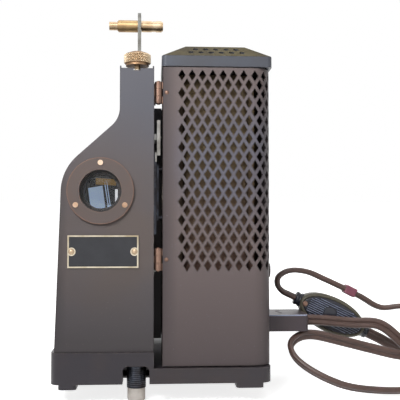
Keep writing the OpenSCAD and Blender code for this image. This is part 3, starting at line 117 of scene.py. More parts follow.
# %% White floor for the camera, grey for the light it throws back
floor_material = bpy.data.materials.new("floor_paper")
tree = node_tree(floor_material)
output = tree.nodes.new("ShaderNodeOutputMaterial")
paper = tree.nodes.new("ShaderNodeBsdfDiffuse")
paper.inputs["Color"].default_value = (0.9, 0.9, 0.9, 1)
glow = tree.nodes.new("ShaderNodeEmission")
place = tree.nodes.new("ShaderNodeTexCoord")
ways = tree.nodes.new("ShaderNodeSeparateXYZ")
farther = tree.nodes.new("ShaderNodeMapRange")
for socket, value in (("From Min", 0.1), ("From Max", 0.5), ("To Min", 0.79), ("To Max", 1.0)):
    farther.inputs[socket].default_value = value
tree.links.new(place.outputs["Object"], ways.inputs[0])
tree.links.new(ways.outputs["Y"], farther.inputs["Value"])
tree.links.new(farther.outputs[0], glow.inputs["Strength"])
layers = tree.nodes.new("ShaderNodeAddShader")
seen = tree.nodes.new("ShaderNodeMixShader")
tree.links.new(white_rays(tree), seen.inputs[0])
tree.links.new(paper.outputs[0], layers.inputs[0])
tree.links.new(glow.outputs[0], layers.inputs[1])
tree.links.new(paper.outputs[0], seen.inputs[1])
tree.links.new(layers.outputs[0], seen.inputs[2])
tree.links.new(seen.outputs[0], output.inputs["Surface"])
floor_data.materials.append(floor_material)

# %% [markdown]
# ## Light
# A soft spot from the upper left front, a big light far in front and a broad one from above give
# the calm light of the photograph. The world is a mild grey for light and white for the camera.

# %% World and lamps
world = bpy.data.worlds.new("studio")
scene.world = world
world.use_nodes = True
tree = world.node_tree
tree.nodes.clear()
output = tree.nodes.new("ShaderNodeOutputWorld")
ambient = tree.nodes.new("ShaderNodeBackground")
ambient.inputs["Strength"].default_value = 0.24
backdrop = tree.nodes.new("ShaderNodeBackground")
backdrop.inputs["Strength"].default_value = 1.0
backdrop.inputs["Color"].default_value = (1, 1, 1, 1)
seen = tree.nodes.new("ShaderNodeMixShader")
tree.links.new(white_rays(tree), seen.inputs[0])
tree.links.new(ambient.outputs[0], seen.inputs[1])
tree.links.new(backdrop.outputs[0], seen.inputs[2])
tree.links.new(seen.outputs[0], output.inputs["Surface"])


def softbox(name, place, target, size, power, spread=180):
    """A square area lamp at a place, turned towards a target. A small spread makes it a soft spot."""
    data = bpy.data.lights.new(name, "AREA")
    data.size = size
    data.energy = power
    data.spread = math.radians(spread)
    lamp = bpy.data.objects.new(name, data)
    lamp.location = place
    lamp.rotation_euler = (Vector(target) - Vector(place)).to_track_quat("-Z", "Y").to_euler()
    scene.collection.objects.link(lamp)
    return lamp


middle = (0, 0, 0.12)
softbox("key_light", (-0.3, -0.62, 0.62), (0, -0.06, 0.25), 0.34, 0.62, 50)
softbox("fill_light", (-0.1, -1.2, 0.7), middle, 0.5, 1.1)
softbox("top_light", (0.1, 0.1, 1.3), middle, 0.8, 3.4)

# %% [markdown]
# ## Cord
# The cord is a flat twin lead, 7.3 mm wide and 3.7 mm thick, with a groove down the middle. It leaves
# the plug, goes out of the picture, comes back in a low loop under the plug, goes out again and comes back
# over the top into its switch. What the picture does not show is wound in a coil on the floor beside it.
# A flat section swept along a given way keeps its width true, where a round curve would not.

# %% Ways of the cord's centre, in metres
LEAD_WAY = [
    (0.0983, -0.029, 0.044), (0.105, -0.029, 0.044), (0.114, -0.0295, 0.0435),
    (0.132, -0.031, 0.042), (0.15, -0.034, 0.041), (0.164, -0.037, 0.03), (0.174, -0.043, 0.017),
    (0.181, -0.053, 0.008), (0.174, -0.064, 0.0045), (0.158, -0.069, 0.0038),
    (0.138, -0.069, 0.004), (0.118, -0.067, 0.0065), (0.101, -0.062, 0.013), (0.089, -0.054, 0.021),
    (0.086, -0.046, 0.029), (0.093, -0.0395, 0.034), (0.104, -0.038, 0.035), (0.122, -0.04, 0.031),
    (0.142, -0.041, 0.026), (0.162, -0.042, 0.0215), (0.178, -0.042, 0.022), (0.188, -0.038, 0.032),
    (0.186, -0.03, 0.046), (0.172, -0.022, 0.052), (0.156, -0.018, 0.051), (0.142, -0.018, 0.0585),
    (0.129, -0.019, 0.065), (0.115, -0.019, 0.0715), (0.103, -0.019, 0.0765),
    (0.091, -0.019, 0.0775), (0.083, -0.019, 0.0735), (0.082, -0.019, 0.0675),
    (0.0855, -0.018, 0.063), (0.0901, -0.017, 0.0606), (0.0955, -0.017, 0.058),
]
TAIL_WAY = [
    (0.145, -0.017, 0.034), (0.1504, -0.017, 0.0314), (0.158, -0.018, 0.0275), (0.17, -0.024, 0.02),
    (0.182, -0.034, 0.0125), (0.198, -0.042, 0.007), (0.214, -0.045, 0.005),
    (0.227, -0.045, 0.0046), (0.24, -0.045, 0.0045),
]
END_WAY = [
    (0.199, -0.014, 0.0295), (0.199, -0.025, 0.0275), (0.2, -0.038, 0.023), (0.204, -0.051, 0.0175),
    (0.212, -0.061, 0.014), (0.2185, -0.064, 0.013), (0.225, -0.064, 0.013),
]


def smooth(points, steps):
    """A smooth way through the points, with a number of steps between each two."""
    points = [Vector(p) for p in points]
    way = []
    for i in range(len(points) - 1):
        a, b, c = points[max(i - 1, 0)], points[i], points[i + 1]
        d = points[min(i + 2, len(points) - 1)]
        for k in range(steps):
            u = k / steps
            way.append(0.5 * (2 * b + (c - a) * u + (2 * a - 5 * b + 4 * c - d) * u**2
                              + (3 * b - a - 3 * c + d) * u**3))
    return way + [points[-1]]


def length_of(way):
    """Length of a way, in metres."""
    return sum((b - a).length for a, b in zip(way, way[1:]))


# %% Coil of the unseen length: four layers of two loops
COIL_CENTRE = (0.24, -0.004)
COIL_OUT, COIL_PITCH, COIL_LOOPS, COIL_RISE = 0.041, 0.0076, 2, 0.25
COIL_STEP = COIL_LOOPS + COIL_RISE
COIL_TURNS = 4 * COIL_LOOPS + 3 * COIL_RISE
LIFT = 0.0029


def coil_point(t):
    """Place on the coil after t turns: each layer winds in or out, then climbs to the next."""
    layer = min(3, int(t / COIL_STEP))
    along = t - layer * COIL_STEP
    run = min(along, COIL_LOOPS)
    up = layer + max(0, along - COIL_LOOPS) / COIL_RISE
    radius = COIL_OUT - COIL_PITCH * (run if layer % 2 == 0 else COIL_LOOPS - run)
    angle = math.radians(270 + 360 * t)
    y = COIL_CENTRE[1] + radius * math.sin(angle)
    return Vector((COIL_CENTRE[0] + radius * math.cos(angle), y,
                   rest_height(y) + LIFT + 0.00005 + up * COIL_PITCH))


coil_way = [coil_point(i / 36) for i in range(int(36 * COIL_TURNS) + 1)]
print(f"coil: {COIL_TURNS} turns, {length_of(coil_way):.2f} m")

# %% Flat twin section, swept without twisting
CORD_WIDTH, CORD_THICK = 7.3 * MM, 3.7 * MM


def twin_section():
    """Outline of the flat twin cord: two round cores and a shallow groove between them."""
    core = CORD_THICK / 2
    centre = CORD_WIDTH / 2 - core
    side = []
    for share in (0.0, 0.05, 0.13, 0.24, 0.36, 0.44, 0.5, 0.56, 0.64, 0.76, 0.87, 0.95, 1.0):
        x = (2 * share - 1) * CORD_WIDTH / 2
        high = math.sqrt(max(0, core**2 - (abs(x) - centre) ** 2))
        side.append((x, 0.42 * core if abs(share - 0.5) < 0.01 else high))
    return side + [(x, -high) for x, high in reversed(side[1:-1])]


def sweep(name, way, section, wide, twist=lambda share: 0):
    """A tube along a way. wide is the direction of the section's width where the way starts."""
    bm = bmesh.new()
    rings = []
    wide = Vector(wide)
    total = len(way) - 1
    for i, place in enumerate(way):
        ahead = (way[min(i + 1, total)] - way[max(i - 1, 0)]).normalized()
        wide = (wide - wide.dot(ahead) * ahead).normalized()
        turned = Matrix.Rotation(math.radians(twist(i / total)), 3, ahead) @ wide
        across = ahead.cross(turned)
        rings.append([bm.verts.new(place + x * turned + y * across) for x, y in section])
    count = len(section)
    for a, b in zip(rings, rings[1:]):
        for k in range(count):
            face = bm.faces.new((a[k], a[(k + 1) % count], b[(k + 1) % count], b[k]))
            face.smooth = True
    bm.faces.new(list(reversed(rings[0])))
    bm.faces.new(rings[-1])
    bmesh.ops.recalc_face_normals(bm, faces=bm.faces)
    return finished(name, bm)


def finished(name, bm):
    """Turns a bmesh into an object at the origin."""
    data = bpy.data.meshes.new(name)
    bm.to_mesh(data)
    bm.free()
    piece = bpy.data.objects.new(name, data)
    scene.collection.objects.link(piece)
    return piece


# %% The two stretches of cord
lead_way = smooth(LEAD_WAY, 6)
lead_cord = sweep("cord_to_switch", lead_way, twin_section(), (0, 0, 1))
tail_way = smooth(TAIL_WAY, 6)[:-1] + coil_way + smooth(END_WAY, 6)
tail_cord = sweep("cord_to_mains_plug", tail_way, twin_section(), (0, 0, 1))
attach(lead_cord, "case")
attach(tail_cord, "case")
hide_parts("cord_lead")
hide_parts("cord_tail", "cord_hank")
print(f"cord: {length_of(lead_way):.3f} m to the switch, {length_of(tail_way):.3f} m beyond it")

# %% [markdown]
# ## Finishes
# Every finish is made of nodes on Object coordinates, so it stays on the piece when a joint moves. A
# baked enamel is a dielectric with a fine ripple, a slow change of colour from dust and handling, and
# edges in a colour of their own: wear on most pieces, painted shade on the housing, lamp house and lid.
# A Bevel node finds the edges: its normal differs from the true one only close to them.

# %% Helpers for finishes
def srgb(red, green, blue):
    """A colour as a picture stores it, 0 to 255, made linear as the shader wants it."""
    def linear(v):
        v /= 255
        return v / 12.92 if v <= 0.04045 else ((v + 0.055) / 1.055) ** 2.4
    return (linear(red), linear(green), linear(blue), 1)


def noise(tree, scale, detail=3, stretch=(1, 1, 1)):
    """A noise on Object coordinates, with a number of features per metre."""
    place = tree.nodes.new("ShaderNodeTexCoord")
    mapping = tree.nodes.new("ShaderNodeMapping")
    mapping.inputs["Scale"].default_value = stretch
    cloud = tree.nodes.new("ShaderNodeTexNoise")
    cloud.inputs["Scale"].default_value = scale
    cloud.inputs["Detail"].default_value = detail
    tree.links.new(place.outputs["Object"], mapping.inputs["Vector"])
    tree.links.new(mapping.outputs[0], cloud.inputs["Vector"])
    return cloud.outputs["Fac"]


def band(tree, value, low, high):
    """0 below low, 1 above high, and a slope between them."""
    ramp = tree.nodes.new("ShaderNodeMapRange")
    ramp.inputs["From Min"].default_value = low
    ramp.inputs["From Max"].default_value = high
    tree.links.new(value, ramp.inputs["Value"])
    return ramp.outputs["Result"]


def blend(tree, amount, first, second):
    """Mixes two colours, each a colour or a socket."""
    mix = tree.nodes.new("ShaderNodeMix")
    mix.data_type = "RGBA"
    tree.links.new(amount, mix.inputs["Factor"])
    for socket, value in ((mix.inputs[6], first), (mix.inputs[7], second)):
        if isinstance(value, tuple):
            socket.default_value = value
        else:
            tree.links.new(value, socket)
    return mix.outputs[2]


def math_node(tree, operation, first, second):
    """One arithmetic node on two sockets or numbers."""
    node = tree.nodes.new("ShaderNodeMath")
    node.operation = operation
    for socket, value in zip(node.inputs, (first, second)):
        if isinstance(value, (int, float)):
            socket.default_value = value
        else:
            tree.links.new(value, socket)
    return node.outputs[0]


def edges(tree, radius):
    """1 on edges, 0 on flat ground, from how far a rounded normal turns from the true one."""
    rounded = tree.nodes.new("ShaderNodeBevel")
    rounded.samples = 4
    rounded.inputs["Radius"].default_value = radius
    true = tree.nodes.new("ShaderNodeNewGeometry")
    dot = tree.nodes.new("ShaderNodeVectorMath")
    dot.operation = "DOT_PRODUCT"
    tree.links.new(rounded.outputs[0], dot.inputs[0])
    tree.links.new(true.outputs["Normal"], dot.inputs[1])
    return band(tree, math_node(tree, "SUBTRACT", 1.0, dot.outputs["Value"]), 0.01, 0.12)


def bump(tree, height, strength, distance):
    """A bump normal from a height."""
    node = tree.nodes.new("ShaderNodeBump")
    node.inputs["Strength"].default_value = strength
    node.inputs["Distance"].default_value = distance
    tree.links.new(height, node.inputs["Height"])
    return node.outputs[0]


def distance(tree, centre, keep):
    """Distance in metres from a centre on Object coordinates, along the axes kept with a 1."""
    place = tree.nodes.new("ShaderNodeTexCoord")
    shift = tree.nodes.new("ShaderNodeVectorMath")
    shift.operation = "SUBTRACT"
    shift.inputs[1].default_value = centre
    flat = tree.nodes.new("ShaderNodeVectorMath")
    flat.operation = "MULTIPLY"
    flat.inputs[1].default_value = keep
    size = tree.nodes.new("ShaderNodeVectorMath")
    size.operation = "LENGTH"
    tree.links.new(place.outputs["Object"], shift.inputs[0])
    tree.links.new(shift.outputs[0], flat.inputs[0])
    tree.links.new(flat.outputs[0], size.inputs[0])
    return size.outputs["Value"]


def shader(name, metallic=0.0, roughness=0.4, coat=0.0, shine=0.5):
    """A material with one Principled shader, joined to its output."""
    material = bpy.data.materials.new(name)
    tree = node_tree(material)
    output = tree.nodes.new("ShaderNodeOutputMaterial")
    surface = tree.nodes.new("ShaderNodeBsdfPrincipled")
    surface.inputs["Metallic"].default_value = metallic
    surface.inputs["Roughness"].default_value = roughness
    surface.inputs["Coat Weight"].default_value = coat
    surface.inputs["Coat Roughness"].default_value = 0.15
    surface.inputs["Specular IOR Level"].default_value = shine
    tree.links.new(surface.outputs[0], output.inputs["Surface"])
    return material, tree, surface


# %% Baked enamel on castings and sheet
def enamel(name, colour, patina, edge_wear_and_shade, roughness=0.38, patches=38, edge_wear_and_shade_amount=0.6, coat=0.08, shine=0.35,
           shades=(), depth=0.16, solid=0.46, dull=None):
    """Enamel with slow patches of patina, specks of dust, coloured edges and shades.

    A shade is (centre, axes kept, near, far, colour): a colour that sets in from the near to the far
    distance, and so towards the centre when far is the smaller one. Some shades are painted shade or a
    painted highlight.
    The edge colour is wear on some pieces and painted shade on others.
    Where a dull place (centre, axes kept, near, far) begins, the enamel has lost its shine.
    """
    material, tree, surface = shader(name, roughness=roughness, coat=coat, shine=shine)
    slow = band(tree, noise(tree, patches, 5), 0.44, 0.68)
    colour_now = blend(tree, math_node(tree, "MULTIPLY", slow, 0.75), colour, patina)
    for centre, keep, near, far, shade in shades:
        colour_now = blend(tree, band(tree, distance(tree, centre, keep), near, far), colour_now, shade)
    dust = band(tree, noise(tree, 900, 2), 0.68, 0.76)
    pale = tuple(min(1, v * 1.4 + 0.01) for v in colour[:3]) + (1,)
    colour_now = blend(tree, math_node(tree, "MULTIPLY", dust, 0.3), colour_now, pale)
    # Edges take a colour of their own where the noise allows: wear on most pieces, painted shade of the
    # rounded edges on the housing, lamp house and lid.
    edge_noise = band(tree, noise(tree, 260, 4), solid, solid + 0.14)
    edge_wear_and_shade_mask = math_node(tree, "MULTIPLY", edges(tree, 0.0009), edge_noise)
    colour_now = blend(tree, math_node(tree, "MULTIPLY", edge_wear_and_shade_mask, edge_wear_and_shade_amount), colour_now, edge_wear_and_shade)
    tree.links.new(colour_now, surface.inputs["Base Color"])
    rough = math_node(tree, "ADD", math_node(tree, "MULTIPLY", noise(tree, 120, 4), 0.22), roughness - 0.1)
    tree.links.new(rough, surface.inputs["Roughness"])
    grit = math_node(tree, "MULTIPLY", noise(tree, 2600, 2), 0.4)
    ripple = math_node(tree, "ADD", noise(tree, 420, 2), grit)
    tree.links.new(bump(tree, ripple, depth, 0.0002), surface.inputs["Normal"])
    if dull:
        lost = band(tree, distance(tree, *dull[:2]), *dull[2:])
        left = math_node(tree, "SUBTRACT", 1.0, lost)
        tree.links.new(math_node(tree, "MULTIPLY", left, shine), surface.inputs["Specular IOR Level"])
        tree.links.new(math_node(tree, "MULTIPLY", left, coat), surface.inputs["Coat Weight"])
    return material


ACROSS, UPRIGHT, ALONG_LENS = (1, 0, 0), (0, 0, 1), (1, 0, 1)
bare_iron = srgb(128, 116, 106)
# Painted shade for the edges of the housing, lamp house and lid, which darkens their rounded edges.
edge_painted_shade = srgb(52, 47, 46)
base_enamel = enamel("base_enamel", srgb(54, 50, 56), srgb(66, 57, 56), srgb(108, 98, 92), patches=30,
                     depth=0.5)
# The housing is brownish near the lens and bluish farther out. The darker bottom and the darker left side
# are painted shade.
housing_enamel = enamel(
    "housing_enamel", srgb(101, 91, 88), srgb(97, 90, 92), edge_painted_shade, patches=26, solid=0.3, edge_wear_and_shade_amount=0.85,
    shades=[((-0.045, 0, 0.1), ALONG_LENS, 0.035, 0.09, srgb(95, 95, 103)),
            ((0, 0, 0.15), UPRIGHT, 0.062, 0.112, srgb(72, 67, 69)),
            ((0.0, 0, 0), ACROSS, 0.058, 0.067, srgb(64, 60, 62))])
# The lamp house is bluish round the middle of its front and browner farther out. The darker bottom and the
# darker sides are painted shade. Close to the sides the enamel has no shine.
lamp_enamel = enamel(
    "lamp_enamel", srgb(104, 102, 112), srgb(100, 94, 100), edge_painted_shade, patches=34, solid=0.3, edge_wear_and_shade_amount=0.85,
    coat=0.0, dull=((0.036, 0, 0), ACROSS, 0.0352, 0.0355),
    shades=[((0.044, 0, 0.15), ALONG_LENS, 0.02, 0.05, srgb(114, 102, 101)),
            ((0, 0, 0.15), UPRIGHT, 0.062, 0.125, srgb(90, 80, 81)),
            ((0.036, 0, 0), ACROSS, 0.026, 0.0345, srgb(84, 75, 76))])
lid_enamel = enamel("lid_enamel", srgb(84, 88, 98), srgb(80, 80, 85), edge_painted_shade, patches=30, solid=0.3)
roof_enamel = enamel("roof_enamel", srgb(84, 76, 54), srgb(66, 60, 50), srgb(110, 100, 76), patches=60,
                     coat=0, shine=0.1, roughness=0.6)
mount_enamel = enamel(
    "mount_enamel", srgb(102, 91, 88), srgb(108, 91, 84), srgb(150, 112, 92), patches=40, edge_wear_and_shade_amount=0.9,
    shades=[((-0.038, 0, 0.1302), ALONG_LENS, 0.0199, 0.0205, srgb(134, 104, 90))])
motor_enamel = enamel("motor_enamel", srgb(48, 47, 48), srgb(60, 56, 54), bare_iron, patches=40)
print("enamels:", [m.name for m in bpy.data.materials if m.name.endswith("enamel")])

# %% Bare metals
def metal(name, colour, tarnish, roughness, grain=(1, 1, 1), patches=120, fine=1500, depth=0.12,
          shades=()):
    """A metal with patches of tarnish, shades, and turning or brushing marks stretched by grain."""
    material, tree, surface = shader(name, metallic=1.0, roughness=roughness)
    slow = band(tree, noise(tree, patches, 5), 0.42, 0.66)
    colour_now = blend(tree, slow, colour, tarnish)
    for centre, keep, near, far, shade in shades:
        colour_now = blend(tree, band(tree, distance(tree, centre, keep), near, far), colour_now, shade)
    tree.links.new(colour_now, surface.inputs["Base Color"])
    rough = math_node(tree, "ADD", math_node(tree, "MULTIPLY", noise(tree, 400, 3), 0.25), roughness - 0.1)
    tree.links.new(rough, surface.inputs["Roughness"])
    tree.links.new(bump(tree, noise(tree, fine, 2, grain), depth, 0.0001), surface.inputs["Normal"])
    return material


steel = metal("drawn_steel", srgb(176, 176, 174), srgb(140, 136, 130), 0.36, (1, 1, 0.04))
turned_steel = metal("turned_steel", srgb(190, 188, 184), srgb(150, 146, 140), 0.28, (1, 1, 1))
dull_steel = metal("dull_steel", srgb(116, 116, 112), srgb(96, 94, 90), 0.5, (1, 1, 0.04))
dark_steel = metal("blued_steel", srgb(88, 92, 102), srgb(60, 56, 56), 0.34)
nickel = metal("nickel_plate", srgb(214, 208, 198), srgb(178, 166, 148), 0.22)
worn_nickel = metal("worn_nickel", srgb(176, 170, 164), srgb(146, 138, 130), 0.34)
pale_brass = metal("worn_nickel_on_brass", srgb(204, 184, 156), srgb(166, 140, 108), 0.3)
screw_brass = metal("screw_brass", srgb(218, 192, 168), srgb(176, 142, 116), 0.4)
rivet_brass = metal("rivet_brass", srgb(186, 164, 138), srgb(140, 116, 94), 0.5)
# The knurl is darker in its grooves, which is painted shade, and bright on its crests.
knurled_brass = metal("knurled_brass", srgb(152, 122, 94), srgb(124, 98, 74), 0.42,
                      shades=[((-0.01575, -0.07, 0), (1, 1, 0), 0.0079, 0.0084, srgb(214, 196, 168))])
brass = metal("aged_brass", srgb(176, 148, 108), srgb(122, 98, 74), 0.36)
hinge_brass = metal("copper_brown_brass", srgb(142, 114, 100), srgb(100, 80, 72), 0.45)
plate_rim = metal("plate_rim_brass", srgb(206, 196, 176), srgb(170, 156, 130), 0.4)
# A lighter copy of the liner for its left wing: painted light, because little lamp light reaches the wing
# through the holes.
liner_painted_light = enamel("liner_painted_light", srgb(150, 132, 112), srgb(120, 104, 88), srgb(150, 132, 112),
                    patches=24, coat=0, shine=0.05, roughness=0.8)
liner_sheet = enamel("liner_sheet", srgb(130, 114, 88), srgb(104, 88, 72), srgb(124, 110, 92),
                     patches=24, coat=0, shine=0.05, roughness=0.8,
                     shades=[((0, 0, 0.2), UPRIGHT, 0.04, 0.12, srgb(120, 96, 86))])
print("metals:", steel.name, nickel.name, brass.name)

# %% Glass, mirror, mouldings and rubber
def moulded(name, colour, roughness, grain=1400, depth=0.08, glow=0.0):
    """A moulded plastic or rubber, or a painted reflection that may glow, nearly even in colour, with a fine
    skin.
    """
    material, tree, surface = shader(name, roughness=roughness)
    surface.inputs["Emission Color"].default_value = colour
    surface.inputs["Emission Strength"].default_value = glow
    tone = band(tree, noise(tree, 90, 4), 0.35, 0.7)
    dusty = tuple(min(1, v * 1.35 + 0.006) for v in colour[:3]) + (1,)
    colour_now = blend(tree, math_node(tree, "MULTIPLY", tone, 0.7), colour, dusty)
    tree.links.new(colour_now, surface.inputs["Base Color"])
    tree.links.new(bump(tree, noise(tree, grain, 2), depth, 0.0001), surface.inputs["Normal"])
    return material


def clear(name, colour, shine=0.015):
    """Clear glass that lets light and sight straight through, with a soft shine on it."""
    material = bpy.data.materials.new(name)
    tree = node_tree(material)
    output = tree.nodes.new("ShaderNodeOutputMaterial")
    through = tree.nodes.new("ShaderNodeBsdfTransparent")
    through.inputs["Color"].default_value = colour
    gloss = tree.nodes.new("ShaderNodeBsdfGlossy")
    gloss.inputs["Roughness"].default_value = 0.05
    rim = tree.nodes.new("ShaderNodeLayerWeight")
    rim.inputs["Blend"].default_value = 0.25
    amount = math_node(tree, "ADD", math_node(tree, "MULTIPLY", rim.outputs["Facing"], 0.12), shine)
    mix = tree.nodes.new("ShaderNodeMixShader")
    tree.links.new(amount, mix.inputs[0])
    tree.links.new(through.outputs[0], mix.inputs[1])
    tree.links.new(gloss.outputs[0], mix.inputs[2])
    tree.links.new(mix.outputs[0], output.inputs["Surface"])
    return material


cord_rubber = moulded("cord_rubber", srgb(84, 62, 55), 0.34)
# The plug's top front edge carries a painted highlight, a thin pale blue line. Its other edges show wear.
plug_moulding = enamel("plug_moulding", srgb(71, 62, 67), srgb(78, 67, 68), srgb(110, 100, 100),
                       roughness=0.36, patches=60, coat=0.1,
                       shades=[((0.08, -0.0458, 0.0493), (0, 1, 1), 0.0007, 0.0005, srgb(176, 184, 208))])
switch_moulding = moulded("switch_moulding", srgb(34, 36, 48), 0.16, 600, 0.03)
# The crests of the switch's ribs carry a painted highlight in pale blue.
painted_rib_highlight = moulded("painted_rib_highlight", srgb(124, 132, 156), 0.25, 600, 0.03)
switch_rim = moulded("switch_rim", srgb(88, 84, 70), 0.4, 600)
plate_field = moulded("plate_field", srgb(40, 41, 46), 0.35, 700)
red_moulding = moulded("red_moulding", srgb(124, 66, 82), 0.4)
mains_moulding = moulded("mains_plug_moulding", srgb(72, 56, 50), 0.3, 500)
belt_leather = moulded("belt_leather", srgb(88, 64, 46), 0.6, 900, 0.4)
lens_glass = clear("lens_glass", (0.985, 0.99, 1.0, 1))
bulb_glass = clear("bulb_glass", (0.97, 0.98, 0.98, 1))
# Painted reflections for the mirror: the dark glass for the gate, and glowing strips for the condenser, its
# window and the brass.
dark_reflection_paint = moulded("dark_reflection_paint", srgb(20, 22, 26), 0.12, 300)
sky_reflection_paint = moulded("sky_reflection_paint", srgb(180, 202, 228), 0.2, 200, 0.02, glow=0.4)
window_reflection_paint = moulded("window_reflection_paint", srgb(250, 250, 250), 0.3, glow=0.7)
brass_reflection_paint = moulded("brass_reflection_paint", srgb(150, 116, 56), 0.25, 300, glow=0.35)
silvered = metal("silvered_glass", srgb(226, 232, 240), srgb(206, 214, 226), 0.12, patches=20, depth=0.02)
print("materials so far:", len(bpy.data.materials))

# %% Dress the CAD pieces
def dress(material, *names):
    """Gives CAD pieces a material in every slot they have."""
    for name in names:
        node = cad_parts[name]
        if not node.material_slots:
            node.data.materials.append(material)
        for slot in node.material_slots:
            slot.material = material


dress(base_enamel, "base", "motor_cradle")
dress(housing_enamel, "mechanism_housing", "frame_plate")
dress(lamp_enamel, "lamp_house_shell", "lamp_door")
dress(lid_enamel, "lamp_lid")
dress(motor_enamel, "motor_casing", "bottom_plate", "shutter_disc", "lens_barrel")
dress(dull_steel, "reel_arm")
dress(steel, "take_up_arm", "arm_guide", "take_up_bracket", "mirror_bracket", "roller_bracket")
dress(turned_steel, "main_shaft", "shutter_shaft", "sprocket_shaft", "motor_shaft", "worm",
      "film_sprocket", "main_pulley", "reel_catch", "guide_roller", "film_claw")
dress(dark_steel, "elevating_screw", "gate_plate", "pressure_plate")
dress(worn_nickel, "elevating_foot")
dress(nickel, "case_screws", "framing_bush", "condenser")
dress(screw_brass, "mount_screws")
dress(rivet_brass, "plate_rivets")
dress(pale_brass, "framing_knob", "framing_rod")
dress(brass, "spindle_bearing", "worm_wheel", "lamp_socket")
dress(pale_brass, "reel_spindle", "take_up_spindle")
dress(hinge_brass, "door_hinges", "door_rivets")
dress(mount_enamel, "lens_mount")
dress(liner_sheet, "lamp_liner")
dress(lens_glass, "lens_glasses")
dress(bulb_glass, "lamp_bulb")
dress(silvered, "mirror")
dress(plug_moulding, "plug", "power_inlet", "inching_knob")
dress(switch_moulding, "cord_switch", "name_plate")
dress(mains_moulding, "mains_plug")
dress(belt_leather, "drive_belt")
for cord in (lead_cord, tail_cord):
    cord.data.materials.append(cord_rubber)
print("dressed", len(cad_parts), "CAD pieces")

# %% [markdown]
# ## Soft edges
# CAD edges are sharp, real castings and mouldings are not. A copy of the piece is welded and its edges
# are rounded, and the copy takes the place of the plain piece. Only edges that turn sharply are rounded,
# and only where a test on the edge's middle allows it, so that thin walls stay as they are.

# %% Helper that rounds the edges of a copy
def welded(name):
    """A bmesh copy of a CAD piece with its triangles joined into faces."""
    bm = bmesh.new()
    bm.from_mesh(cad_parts[name].data)
    bmesh.ops.remove_doubles(bm, verts=bm.verts, dist=2e-6)
    bmesh.ops.dissolve_limit(bm, angle_limit=math.radians(0.5), verts=bm.verts, edges=bm.edges)
    return bm


def placed(piece, material, replaced, body="case"):
    """Gives a new piece its material and its body, and hides the CAD pieces it stands for."""
    if material:
        piece.data.materials.append(material)
    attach(piece, body)
    if replaced:
        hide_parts(*replaced)
    return piece


def softened(name, width, material, body="case", allow=lambda middle: True, steps=2, turn=40):
    """Rounds the sharp edges of a copy of a CAD piece and puts the copy in its place."""
    bm = welded(name)
    sharp = [e for e in bm.edges if len(e.link_faces) == 2
             and e.calc_face_angle(0) > math.radians(turn)
             and allow((e.verts[0].co + e.verts[1].co) / 2)]
    bmesh.ops.bevel(bm, geom=sharp, offset=width, segments=steps, profile=0.5, affect="EDGES",
                    clamp_overlap=True)
    for face in bm.faces:
        face.smooth = True
    for edge in bm.edges:
        edge.smooth = len(edge.link_faces) != 2 or edge.calc_face_angle(0) < math.radians(32)
    piece = finished(name + "_soft", bm)
    flat = piece.modifiers.new("weighted", "WEIGHTED_NORMAL")
    flat.keep_sharp = True
    print(f"{name}: {len(sharp)} edges rounded, {len(piece.data.polygons)} faces")
    return placed(piece, material, [name], body)


# %% Round the base, the plug, the lid, the lens mount and the mains plug
DECK_EDGE, BASE_FOOT, ROOF_EDGE = 0.02, 0.0119, 0.2166
PLUG_MIDDLE, MAINS_PINS = 0.044, 0.256
softened("base", 0.0009, base_enamel,
         allow=lambda p: p.z > BASE_FOOT and (abs(p.x) > 0.0665 or abs(p.y) > 0.0785 or p.z > DECK_EDGE))
softened("plug", 0.0009, plug_moulding,
         allow=lambda p: p.x > 0.0695 and (abs(p.z - PLUG_MIDDLE) > 0.0052 or p.x > 0.098))
lid = softened("lamp_lid", 0.0007, lid_enamel, body="lamp_lid",
               allow=lambda p: p.z < ROOF_EDGE and (p.x < 0.0004 or p.x > 0.0684
                                                    or p.y < -0.0768 or p.y > 0.0))
lid.data.materials.append(roof_enamel)
for face in lid.data.polygons:
    if face.center.z > ROOF_EDGE and face.normal.z > 0.3:
        face.material_index = 1
softened("lens_mount", 0.0006, mount_enamel, allow=lambda p: p.y < -0.0775)
softened("framing_bush", 0.0003, nickel)
softened("mains_plug", 0.0012, mains_moulding, allow=lambda p: p.x < MAINS_PINS)

# %% [markdown]
# ## Knurled knob
# The knob's side is a grid bent round a cylinder. Two families of slanting grooves cross on it, which
# leaves the small pyramids of a diamond knurl.

# %% Framing knob with a diamond knurl
KNOB_AT = Vector((-0.01575, -0.07, 0.2112))
KNOB_R, KNOB_H, KNURLS = 8.5 * MM, 6.0 * MM, 40
knob_mesh = bmesh.new()
around, rows = KNURLS * 6, 24
rings = []
profile = [(0.0018, -0.0015), (0.0073, -0.0015), (0.0073, -0.0001)]
profile += [(KNOB_R - 0.0006, 0.0)]
profile += [(KNOB_R, 0.0004 + (KNOB_H - 0.0008) * k / rows) for k in range(rows + 1)]
profile += [(KNOB_R - 0.0007, KNOB_H), (KNOB_R - 0.0012, KNOB_H + 0.0003), (0.004, KNOB_H + 0.0016),
            (0.0001, KNOB_H + 0.002)]
for radius, height in profile:
    ring = []
    for k in range(around):
        angle = 2 * math.pi * k / around
        depth = 0
        if radius == KNOB_R:
            lean = height / KNOB_H * 4
            fold = [abs((k / 6 + s * lean) % 1 - 0.5) * 2 for s in (-1, 1)]
            depth = 0.0006 * max(max(0, f - 0.35) / 0.65 for f in fold)
        ring.append(knob_mesh.verts.new(KNOB_AT + Vector((
            (radius - depth) * math.cos(angle), (radius - depth) * math.sin(angle), height))))
    rings.append(ring)
for a, b in zip(rings, rings[1:]):
    for k in range(around):
        knob_mesh.faces.new((a[k], a[(k + 1) % around], b[(k + 1) % around], b[k]))
bmesh.ops.contextual_create(knob_mesh, geom=rings[0])
bmesh.ops.contextual_create(knob_mesh, geom=rings[-1])
bmesh.ops.recalc_face_normals(knob_mesh, faces=knob_mesh.faces)
